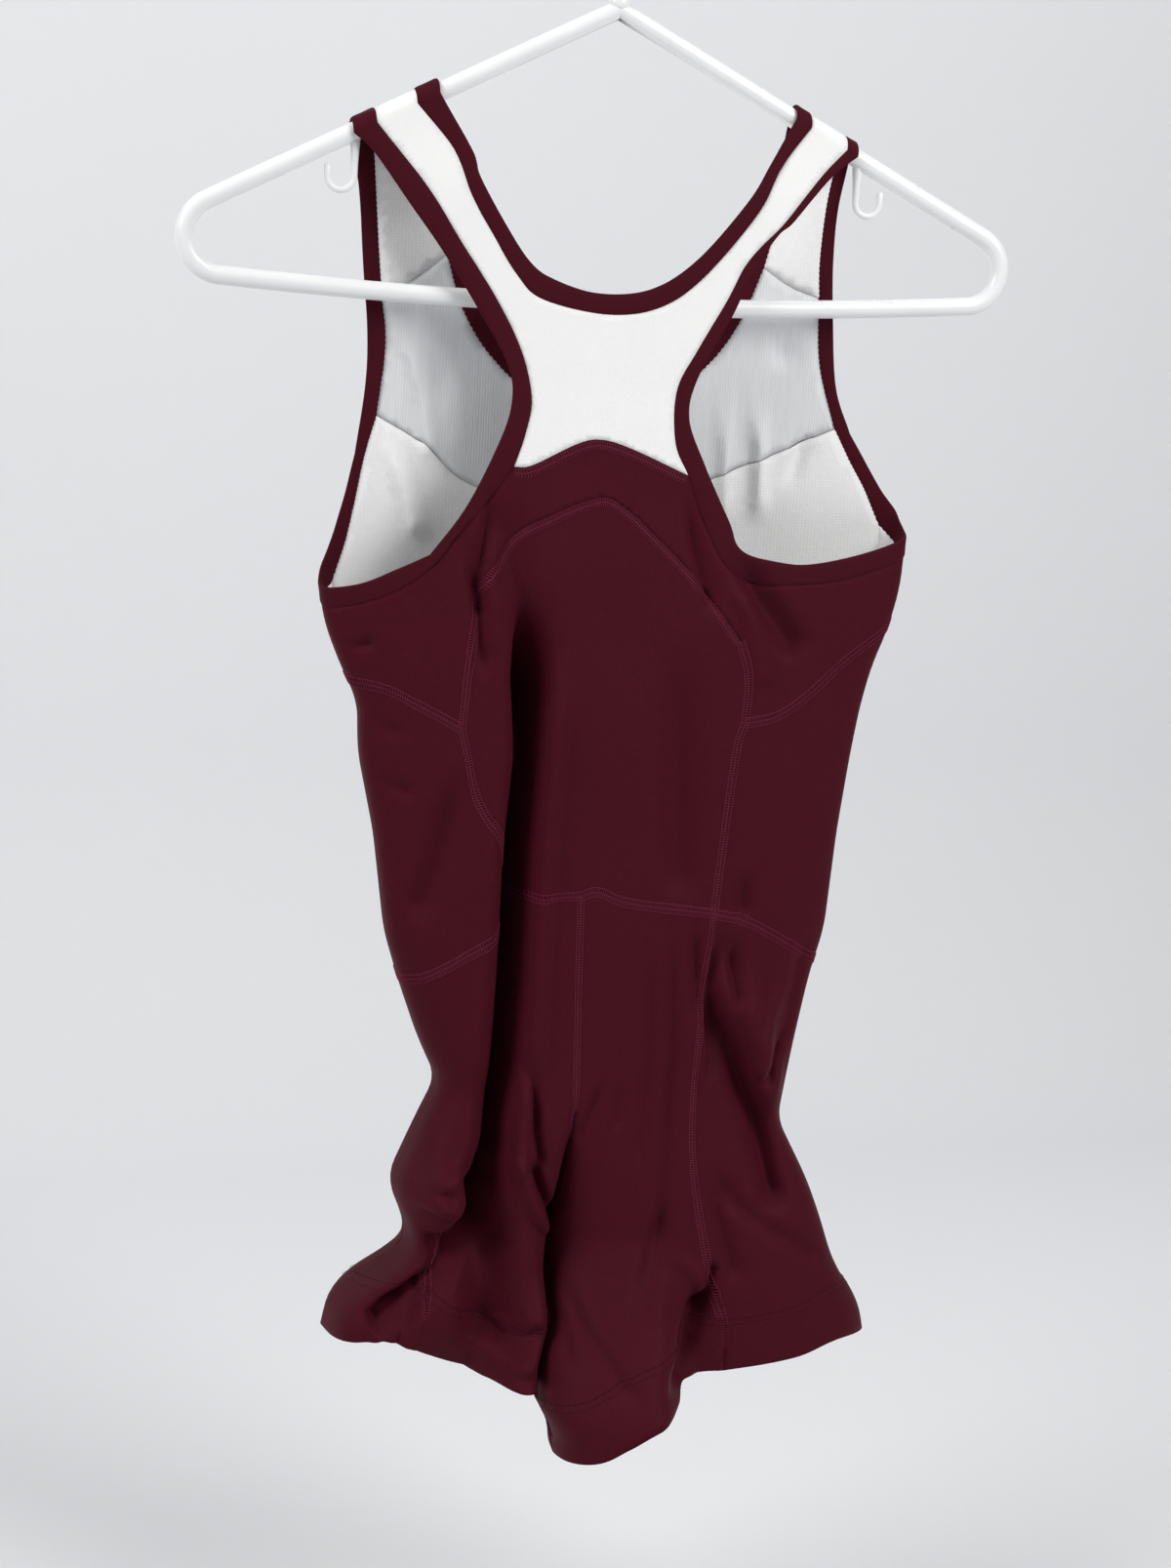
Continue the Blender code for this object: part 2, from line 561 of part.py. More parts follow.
def fold_rows(ring, spacing):
    """Rows of points along the deepest folds, in ring coordinates."""
    rows = []
    for depth, left_half, right_half, _, path in FOLDS.values():
        if depth < DEEP_FOLD:
            continue
        walk = spline(path, spacing)
        along = np.gradient(walk, axis=0)
        along = along / np.linalg.norm(along, axis=1)[:, None]
        across = np.stack([-along[:, 1], along[:, 0]], -1)
        for offset in (-right_half, -right_half / 2, 0.0, left_half / 2, left_half):
            for x, z in walk - across * offset:
                rows.append((unroll(ring, x, z, -1, ring_width(ring) / 2), z))
    return rows


def inner_points(ring, outline, spacing, front):
    """Points inside a panel: rows along its deep folds, and an even spread elsewhere."""
    rows = spread([] if front else fold_rows(ring, FOLD_ROW_STEP), outline, spacing * 0.28)
    kept = []
    for point in rows:
        if all(math.dist(point, other) > spacing * 0.3 for other in kept):
            kept.append(tuple(point))
    low, high = outline.min(0), outline.max(0)
    grid = []
    for row, z in enumerate(np.arange(low[1], high[1], spacing * 0.866)):
        grid.extend((r + spacing / 2 * (row % 2), z) for r in np.arange(low[0], high[0], spacing))
    fixed = np.array(kept).reshape(-1, 2)
    for point in spread(grid, outline, spacing * 0.55):
        if len(fixed) == 0 or np.min(np.linalg.norm(fixed - point, axis=1)) > spacing * 0.6:
            kept.append(tuple(point))
    return kept


def cloth_points(ring, r, z):
    x, side = roll(ring, r, z)
    return surface(x, z, side)


def cloth_normals(ring, r, z, front, step=0.6):
    """The outward direction of the cloth. Above the crotch it runs on across a leg ring's inner edge."""
    width = ring_width(ring)
    around = cloth_points(ring, r + step, z) - cloth_points(ring, r - step, z)
    if ring != "body":
        start = width if front else 0.0
        inner = start + (width if (ring == "left leg") != front else 0.0)
        side = np.full(len(r), 1 if front else -1)
        x = roll(ring, np.clip(r, start + EDGE_ROUND, start + width - EDGE_ROUND), z)[0]
        across = (surface(x + step, z, side) - surface(x - step, z, side)) * -side[:, None]
        open_edge = (np.abs(r - inner) < 2 * step) & (z > CROTCH_Z - JOINING / 2)
        around = np.where(open_edge[:, None], across, around)
    up = cloth_points(ring, r, z + step) - cloth_points(ring, r, z - step)
    normals = np.cross(around, up)
    return normals / np.linalg.norm(normals, axis=1)[:, None]


def warp(points):
    """Ring coordinates with the hanger's slope taken out near its arms, so that rows run along them."""
    r, z = np.array(points, float).T
    x = roll("body", r, z)[0]
    rise = (arm_height(x) - APEX_Z) * ease((z - arm_height(x) + SIDE_BLEND) / SIDE_BLEND)
    return np.stack([r, z - rise], -1)


def make_panel(name, ring, wall, names, lines, collection, material):
    """One cloth panel: a net of triangles between its seam lines, made into a closed wall."""
    front = ring.startswith("front ")
    ring, seam = outline_of(ring, names, lines)
    outline = inset(seam, SEAM_GAP / 2)
    spacing = FRONT_SPACING if front else BACK_SPACING
    points = [tuple(p) for p in outline] + inner_points(ring, outline, spacing, front)
    count = len(outline)
    edges = [(i, (i + 1) % count) for i in range(count)]
    flat = warp(points) if ring == "body" else np.array(points)
    net = delaunay_2d_cdt([tuple(p) for p in flat], edges, [], 1, 1e-6)
    sources, triangles = [source[0] for source in net[3]], net[2]
    r, z = np.array(points)[sources].T
    inner = cloth_points(ring, r, z)
    for v, source in enumerate(sources):
        if source < count:
            r[v], z[v] = seam[source]
    outer = inner + wall * cloth_normals(ring, r, z, front)
    shift = len(sources)
    used = {(a, b) for t in triangles for a, b in zip(t, t[1:] + t[:1])}
    rim = [(a, b) for a, b in used if (b, a) not in used]
    faces = [[i + shift for i in t] for t in triangles] + [t[::-1] for t in triangles]
    for a, b in rim:
        rising = z[b] > z[a] if abs(z[b] - z[a]) > EDGE_ROUND else inner[b][0] > inner[a][0]
        faces += ([[a, b, b + shift], [a, b + shift, a + shift]] if rising
                  else [[a, b, a + shift], [b, b + shift, a + shift]])
    mesh = bpy.data.meshes.new(name)
    mesh.from_pydata((np.vstack([inner, outer]) * MM).tolist(), [], faces)
    mesh.shade_smooth()
    mesh.materials.append(material)
    panel = bpy.data.objects.new(name, mesh)
    collection.objects.link(panel)
    return panel


def tube(name, points, radius, collection, cyclic=False):
    """A round tube along points, as a mesh with welded caps."""
    curve = bpy.data.curves.new(name, "CURVE")
    curve.dimensions = "3D"
    curve.bevel_depth = radius * MM
    curve.bevel_resolution = TUBE_RESOLUTION
    curve.use_fill_caps = True
    line = curve.splines.new("POLY")
    line.points.add(len(points) - 1)
    for target, (x, y, z) in zip(line.points, points):
        target.co = (x * MM, y * MM, z * MM, 1.0)
    line.use_cyclic_u = cyclic
    source = bpy.data.objects.new(name + "_curve", curve)
    collection.objects.link(source)
    graph = bpy.context.evaluated_depsgraph_get()
    mesh = bpy.data.meshes.new_from_object(source.evaluated_get(graph))
    bpy.data.objects.remove(source)
    body = bmesh.new()
    body.from_mesh(mesh)
    bmesh.ops.remove_doubles(body, verts=body.verts, dist=0.00001)
    bmesh.ops.recalc_face_normals(body, faces=body.faces)
    body.to_mesh(mesh)
    body.free()
    result = bpy.data.objects.new(name, mesh)
    collection.objects.link(result)
    return result


def arc_points(centre_x, centre_z, radius, start, end, count):
    """Points of an arc in the hanger's plane, by angle from +X in degrees."""
    angles = np.radians(np.linspace(start, end, count))
    return [(centre_x + radius * math.cos(a), 0.0, centre_z + radius * math.sin(a)) for a in angles]


def frame_path():
    """The hanger's triangle: two arms, two round ends and the bowed bar."""
    slope = math.degrees(ARM_SLOPE)
    centre_x = HALF_SPAN - END_R
    bar_end = BAR_Z - BAR_BOW * (1 - (centre_x / HALF_SPAN) ** 2)
    centre_z = bar_end + END_R
    right = arc_points(centre_x, centre_z, END_R, 90 - slope, -90, END_POINTS)
    bar = [(x, 0.0, BAR_Z - BAR_BOW * (1 - (x / HALF_SPAN) ** 2))
           for x in np.linspace(centre_x, -centre_x, BAR_POINTS)[1:-1]]
    left = [(-x, y, z) for x, y, z in right[::-1]]
    return [(APEX_ROUND, 0.0, APEX_Z - APEX_ROUND * math.tan(ARM_SLOPE))] + right + bar + left + [
        (-APEX_ROUND, 0.0, APEX_Z - APEX_ROUND * math.tan(ARM_SLOPE))]


def hook_path():
    """The hook: up from the apex, and over a bend whose inside crown is the origin."""
    centre_z = HOOK_TUBE_R - HOOK_BEND_R
    bend = arc_points(0.0, centre_z, HOOK_BEND_R, -30, 215, 15)
    return [(0.0, 0.0, APEX_Z), (0.0, 0.0, APEX_Z + 14), (6.0, 0.0, centre_z - 27)] + bend


def cup_path(side):
    """A small hook under an arm: a stem that turns up and outwards."""
    top = arm_height(CUP_X)
    low = float(top) - CUP_STEM
    bend = [(CUP_X + CUP_BEND_R - CUP_BEND_R * math.cos(a), 0.0, low - CUP_BEND_R * math.sin(a))
            for a in np.linspace(0, math.pi, 8)]
    tip = (CUP_X + 2 * CUP_BEND_R, 0.0, low + CUP_TIP)
    return [(side * x, y, z) for x, y, z in [(CUP_X, 0.0, float(top))] + bend + [tip]]


def make_hanger(collection, material):
    """The frame, its hook, the boss at the apex and the two small hooks, joined into one body."""
    frame = tube("hanger", frame_path(), TUBE_R, collection, cyclic=True)
    extras = [tube("hanger_hook_tube", hook_path(), HOOK_TUBE_R, collection),
              tube("cup_left", cup_path(-1), CUP_WIRE_R, collection),
              tube("cup_right", cup_path(1), CUP_WIRE_R, collection)]
    for extra in extras:
        union = frame.modifiers.new("join", "BOOLEAN")
        union.operation = "UNION"
        union.object = extra
    graph = bpy.context.evaluated_depsgraph_get()
    mesh = bpy.data.meshes.new_from_object(frame.evaluated_get(graph))
    frame.modifiers.clear()
    frame.data = mesh
    for extra in extras:
        bpy.data.objects.remove(extra)
    mesh.shade_smooth()
    mesh.materials.clear()
    mesh.materials.append(material)
    return frame


def make_materials():
    made = {}
    for name, (colour, roughness) in MATERIALS.items():
        material = bpy.data.materials.new(name)
        material.use_nodes = True
        shader = material.node_tree.nodes["Principled BSDF"]
        shader.inputs["Base Color"].default_value = (*colour, 1.0)
        shader.inputs["Roughness"].default_value = roughness
        shader.inputs["Metallic"].default_value = 0.0
        made[name] = material
    return made


def main():
    for item in list(bpy.data.objects):
        bpy.data.objects.remove(item)
    collection = bpy.data.collections.new("track_suit_on_hanger")
    bpy.context.scene.collection.children.link(collection)
    materials = make_materials()
    lines = all_lines(LINE_STEP)
    make_hanger(collection, materials["hanger white"])
    for name, (ring, material, wall, names) in PANELS.items():
        make_panel(name, ring, wall, names, lines, collection, materials[material])


if __name__ == "__main__":
    main()
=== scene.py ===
"""A one-piece track suit that hangs by its straps from a tubular clothes hanger, seen from the back.

The tables are in millimetres from the inside of the hook's crown: +X to the wearer's right, +Z up,
the garment's back towards -Y and its front towards +Y. The cloth is one ring of sections from the
underarms down, which splits into two legs at the crotch, and a back sheet and a front sheet above the
underarms, which meet over the hanger's arms. Its panels lie between seam lines drawn on that surface.
"""
import math

import bmesh
import bpy
import numpy as np
from bpy.props import FloatProperty, FloatVectorProperty, PointerProperty
from mathutils import Matrix, Vector
from mathutils.geometry import delaunay_2d_cdt


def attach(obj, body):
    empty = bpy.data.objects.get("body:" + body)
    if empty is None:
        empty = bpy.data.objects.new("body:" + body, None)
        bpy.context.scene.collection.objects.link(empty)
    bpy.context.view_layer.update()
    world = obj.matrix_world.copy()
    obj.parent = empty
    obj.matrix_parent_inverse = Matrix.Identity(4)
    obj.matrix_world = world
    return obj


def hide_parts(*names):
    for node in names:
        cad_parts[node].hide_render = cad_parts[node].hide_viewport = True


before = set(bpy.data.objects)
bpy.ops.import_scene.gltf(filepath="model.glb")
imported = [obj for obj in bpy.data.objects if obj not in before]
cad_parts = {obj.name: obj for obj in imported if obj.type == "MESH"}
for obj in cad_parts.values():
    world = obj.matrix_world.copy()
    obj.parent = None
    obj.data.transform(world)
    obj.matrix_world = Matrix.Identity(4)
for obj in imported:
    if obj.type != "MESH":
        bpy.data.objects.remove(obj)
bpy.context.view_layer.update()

bl_info = {
    "name": "Track Suit on Hanger",
    "version": (1, 0, 0),
    "blender": (4, 5, 0),
    "location": "View3D > Sidebar > Track Suit",
    "description": "Builds a one-piece track suit hanging by its straps from a tubular clothes hanger",
    "category": "Object",
}

MM = 0.001

# Hanger
APEX_Z = -70.0
ARM_SLOPE = math.radians(26.8)
HALF_SPAN = 205.5
TUBE_R = 4.5
END_R = 18.2
BAR_Z = -201.7
BAR_BOW = 8.1
HOOK_TUBE_R = 3.6
HOOK_BEND_R = 24.0
CUP_X = 126.0
CUP_BEND_R = 6.4
CUP_WIRE_R = 1.6
CUP_STEM = 21.0
CUP_TIP = 4.5
HOOK_FLARE = 1.6
CUP_FLARE = 0.9
APEX_ROUND = 3.0

# Cloth
CLOTH_R = 5.0
ARC_STEPS = 6
BODY_RING = 330.0
LEG_RING = 190.0
SIDE_BLEND = 60.0
EDGE_ROUND = 0.001
SECTION_BLUR = 7.0
LEG_BLUR = 3.0
BACK_WAIST_Z = -498.0
FRONT_WAIST_Z = -508.0
FOLD_TOP = -280.0
FOLD_FADE = 40.0
FOLD_RIM = 14.0

# Sections of the ring: height, left and right edge, depth of the back and of the front.
# Above the underarms the edges lie beyond the cloth and only shape the two sheets.
SECTION_COLUMNS = ("z", "left", "right", "back", "front")
SECTIONS = (
    (-70, -185, 185, 9, 9), (-170, -178, 178, 10, 10), (-250, -165, 172, 13, 14),
    (-305, -145, 162, 17, 18), (-330, -138, 161, 19, 20), (-345, -136, 160, 20, 22),
    (-365, -133, 155, 21, 23), (-385, -125, 147, 22, 25), (-405, -115, 142, 23, 26),
    (-430, -114, 138, 24, 27), (-470, -105, 133, 25, 28), (-520, -98, 129, 27, 30),
    (-545, -90, 122, 28, 32), (-575, -79, 116, 30, 33), (-598, -68, 112, 31, 34),
    (-620, -78, 108, 34, 35), (-652, -91, 125, 38, 37), (-664, -85, 130, 40, 37),
    (-680, -80, 136, 42, 38), (-690, -84, 139, 43, 38), (-701, -106, 144, 45, 39),
    (-709, -118, 149, 46, 39), (-720, -121, 157, 47, 39), (-750, -126, 163, 50, 40),
)

# The legs: their inner edges, which meet at the centre above the crotch, and how far the inner part of
# each leg swings to the back.
CROTCH_Z = -674.0
GROOVE_TOP = -590.0
LEG_COLUMNS = ("z", "left_inner", "right_inner", "left_swing", "right_swing")
LEGS = (
    (-480, -9, -5, 0, 0), (-600, -8, -4, 0, 0), (-640, -11, -7, 0, 0), (-674, -16, -12, 0, 0),
    (-690, -18, -13, -6, -8), (-712, -18, -13, -22, -28), (-730, -26, -22, -32, -40),
    (-748, -28, -24, -38, -50), (-762, -22, -17, -40, -56), (-780, -21, -16, -42, -62),
)
LEFT_SWING_REACH = (0.04, 0.22)
RIGHT_SWING_REACH = (0.25, 0.45)
JOINING = 8.0
CROTCH_OPEN = 0.12

# Folds of the back: depth in +Y, half-width on the left and on the right of the path, length of the
# taper at its ends, and the path as points of x and z.
FOLDS = {
    "long valley": (22, 14, 18, 60, ((-36, -350), (-37, -396), (-39, -434), (-42, -476), (-43, -510),
        (-44, -545), (-46, -590), (-51, -628), (-60, -655))),
    "leg ledge": (18, 15, 46, 26, ((-30, -640), (-60, -650), (-77, -660), (-92, -675), (-116, -697))),
    "soft valley": (5, 15, 16, 40, ((41, -370), (42, -440), (46, -505))),
    "underarm valley": (7, 10, 14, 20, ((66, -326), (75, -343), (104, -380))),
    "waist valley": (6, 10, 16, 30, ((-70, -430), (-80, -480), (-89, -515))),
    "seat valley": (11, 14, 10, 30, ((60, -545), (90, -612), (104, -666))),
    "seat ridge": (-8, 14, 16, 30, ((70, -530), (100, -600), (148, -690))),
    "swing valley": (14, 13, 13, 16, ((68, -698), (51, -718), (39, -745))),
    "left bulge": (-9, 9, 9, 12, ((-92, -640), (-62, -638))),
}

# Seam lines. A point is x and z, on the back, or on the front where a line's name starts so.
# A TOP point lies over the hanger's arm, where the front and the back meet.
TOP = None
LINES = {
    "back neck edge": ((-87, TOP), (-71, -140), (-67, -152), (-55, -172), (-42, -190), (-30, -198),
        (-7, -204), (19, -201), (42, -186), (67, -157), (78, -139), (91, TOP)),
    "back neck cloth": ((-98, TOP), (-80, -140), (-71, -161), (-60, -179), (-48, -197), (-35, -208),
        (-3, -214), (23, -210), (45, -195), (72, -163), (84, -140), (99, TOP)),
    "front neck edge": ((-87, TOP), (-84, -145), (-67, -190), (-59, -210), (-46, -228), (-26, -244),
        (3, -251), (32, -244), (52, -228), (65, -210), (73, -190), (86, -145), (91, TOP)),
    "front neck cloth left": ((-98, TOP), (-93, -145), (-77, -188)),
    "front neck cloth": ((-77, -188), (-68, -214), (-53, -236), (-30, -254), (3, -261), (36, -254),
        (59, -236), (74, -214), (84, -188)),
    "front neck cloth right": ((84, -188), (94, -145), (99, TOP)),
    "left armhole cloth": ((-117, TOP), (-93, -157), (-76, -182), (-58, -208), (-45, -232), (-39, -255),
        (-42, -273), (-47, -288)),
    "right armhole cloth": ((118, TOP), (107, -141), (97, -153), (85, -168), (74, -179), (66, -189),
        (58, -205), (44, -229), (34, -249), (34, -274), (41, -290)),
    "back left armhole edge": ((-128, TOP), (-118, -143), (-100, -167), (-84, -188), (-67, -213),
        (-51, -240), (-49, -259), (-56, -280), (-70, -308), (-87, -331)),
    "back right armhole edge": ((124, TOP), (112, -142), (101, -154), (90, -167), (83, -173), (71, -191),
        (61, -213), (45, -242), (41, -263), (51, -288)),
    "front left armhole edge": ((-119, -286), (-115, -252), (-115, -227), (-118, -198), (-122, -160),
        (-128, TOP)),
    "front right armhole edge": ((135, -269), (126, -246), (122, -212), (120, -183), (120, -158),
        (124, TOP)),
    "yoke": ((-47, -288), (-38, -287), (-15, -276), (-3, -274), (12, -278), (41, -290)),
    "arc": ((-63, -347), (-46, -322), (-30, -312), (-3, -302), (11, -308), (24, -319), (48, -342),
        (71, -371)),
    "left princess upper": ((-69, -415), (-66, -380), (-63, -347)),
    "left princess": ((-69, -415), (-60, -451), (-50, -476), (-43, -510)),
    "right princess upper": ((75, -412), (76, -388), (71, -371)),
    "right princess": ((75, -412), (71, -426), (66, -475), (63, -508)),
    "left waist": ((-43, -510), (-62, -527), (-83, -540)),
    "centre waist": ((-43, -510), (-36, -500), (-7, BACK_WAIST_Z)),
    "right centre waist": ((-7, BACK_WAIST_Z), (2, -496), (19, -502), (63, -508)),
    "right waist": ((63, -508), (84, -514), (118, -533)),
    "left outer leg": ((-43, -510), (-44, -545), (-46, -590), (-51, -628), (-64, -668), (-76, -690),
        (-84, -725)),
    "right outer leg": ((63, -508), (58, -562), (55, -627), (63, -682), (72, -714), (73, -741)),
    "front lower seam": ((-109, -267), (-84, -281), (-59, -300), (8, -322), (67, -293), (96, -281),
        (127, -267)),
    "front left opaque": ((-77, -188), (-95, -202), (-109, -208)),
    "front right opaque": ((84, -188), (99, -197), (114, -202)),
    "front left cloth top": ((-117, TOP), (-114, -158), (-112, -178), (-109, -208)),
    "front left cloth": ((-109, -208), (-106, -233), (-109, -267)),
    "front right cloth top": ((118, TOP), (114, -155), (113, -184), (114, -202)),
    "front right cloth": ((114, -202), (117, -235), (127, -267)),
}

# Lines that run round the cloth's side edges. A ring point is a length round the section from the
# left edge, or from the right leg's inner edge, which is below 0 or over the width on the front.
WRAP = 15.0
LEFT_HEM_INSIDE = -741.0
RIGHT_HEM_INSIDE = -774.0
BACK, FRONT, RING = "back", "front", "ring"
RIGHT_WRAP = BODY_RING + WRAP
LEG_WRAP = LEG_RING + WRAP
RING_LINES = {
    "left armhole lower": ("body", ((BACK, -47, -288), (BACK, -58, -303), (BACK, -74, -322),
        (BACK, -86, -337), (BACK, -103, -349), (BACK, -122, -356), (RING, 0, -358), (RING, -WRAP, -348))),
    "left front lower": ("body", ((RING, -WRAP, -348), (FRONT, -121, -322), (FRONT, -115, -290),
        (FRONT, -109, -267))),
    "right armhole lower": ("body", ((BACK, 41, -290), (BACK, 50, -312), (BACK, 60, -332),
        (BACK, 75, -342), (BACK, 95, -343), (BACK, 120, -341), (BACK, 144, -335), (RING, BODY_RING, -327),
        (RING, RIGHT_WRAP, -315))),
    "right front lower": ("body", ((RING, RIGHT_WRAP, -315), (FRONT, 145, -298), (FRONT, 136, -283),
        (FRONT, 127, -267))),
    "left armhole edge lower": ("body", ((BACK, -87, -331), (BACK, -102, -338), (BACK, -121, -346),
        (RING, 0, -348), (RING, -10, -338), (FRONT, -125, -312), (FRONT, -119, -286))),
    "right armhole edge lower": ("body", ((BACK, 51, -288), (BACK, 63, -312), (BACK, 70, -326),
        (BACK, 92, -332), (BACK, 111, -332), (BACK, 143, -325), (RING, BODY_RING, -316),
        (RING, BODY_RING + 8, -306), (FRONT, 151, -294), (FRONT, 135, -269))),
    "left side": ("body", ((BACK, -69, -415), (BACK, -90, -404), (BACK, -107, -396), (RING, 0, -393),
        (RING, -WRAP, -392))),
    "right side": ("body", ((BACK, 75, -412), (BACK, 93, -408), (BACK, 111, -396), (BACK, 134, -377),
        (RING, BODY_RING, -360), (RING, RIGHT_WRAP, -354))),
    "left waist wrap": ("left leg", ((BACK, -83, -540), (RING, 0, -543), (RING, -WRAP, -541))),
    "right waist wrap": ("right leg", ((BACK, 118, -533), (RING, LEG_RING, -538), (RING, LEG_WRAP, -536))),
    "left hem": ("left leg", ((BACK, -84, -725), (BACK, -105, -721), (RING, 0, -726), (RING, -WRAP, -728))),
    "left seat hem": ("left leg", ((BACK, -84, -725), (BACK, -62, -734), (BACK, -44, -740),
        (RING, LEG_RING, LEFT_HEM_INSIDE))),
    "right hem": ("right leg", ((BACK, 73, -741), (BACK, 112, -737), (BACK, 140, -731),
        (RING, LEG_RING, -737), (RING, LEG_WRAP, -741))),
    "right seat hem": ("right leg", ((BACK, 73, -741), (BACK, 58, -741), (BACK, 46, -744),
        (BACK, 30, -749), (BACK, 10, -759), (BACK, -6, -768), (RING, 0, RIGHT_HEM_INSIDE))),
    "left wrap upper": ("body", ((RING, -WRAP, -348), (RING, -WRAP, -392))),
    "left wrap": ("body", ((RING, -WRAP, -392), (RING, -WRAP - 4, -541))),
    "right wrap upper": ("body", ((RING, RIGHT_WRAP, -315), (RING, RIGHT_WRAP, -354))),
    "right wrap": ("body", ((RING, RIGHT_WRAP, -354), (RING, RIGHT_WRAP + 4, -536))),
    "left leg wrap": ("left leg", ((RING, -WRAP, -541), (RING, -WRAP, -728))),
    "right leg wrap": ("right leg", ((RING, LEG_WRAP, -536), (RING, LEG_WRAP, -741))),
    "front left waist": ("body", ((RING, 2 * BODY_RING - WRAP - 4, -541), (FRONT, -50, -515),
        (FRONT, -7, FRONT_WAIST_Z))),
    "front right waist": ("body", ((RING, RIGHT_WRAP + 4, -536), (FRONT, 60, -512),
        (FRONT, -7, FRONT_WAIST_Z))),
    "left front hem": ("left leg", ((RING, 2 * LEG_RING - WRAP, -728), (FRONT, -60, -738),
        (FRONT, -38, -741), (RING, LEG_RING + EDGE_ROUND, LEFT_HEM_INSIDE))),
    "right front hem": ("right leg", ((RING, LEG_WRAP, -741), (FRONT, 110, -744), (FRONT, 30, -757),
        (RING, 2 * LEG_RING - EDGE_ROUND, RIGHT_HEM_INSIDE))),
}

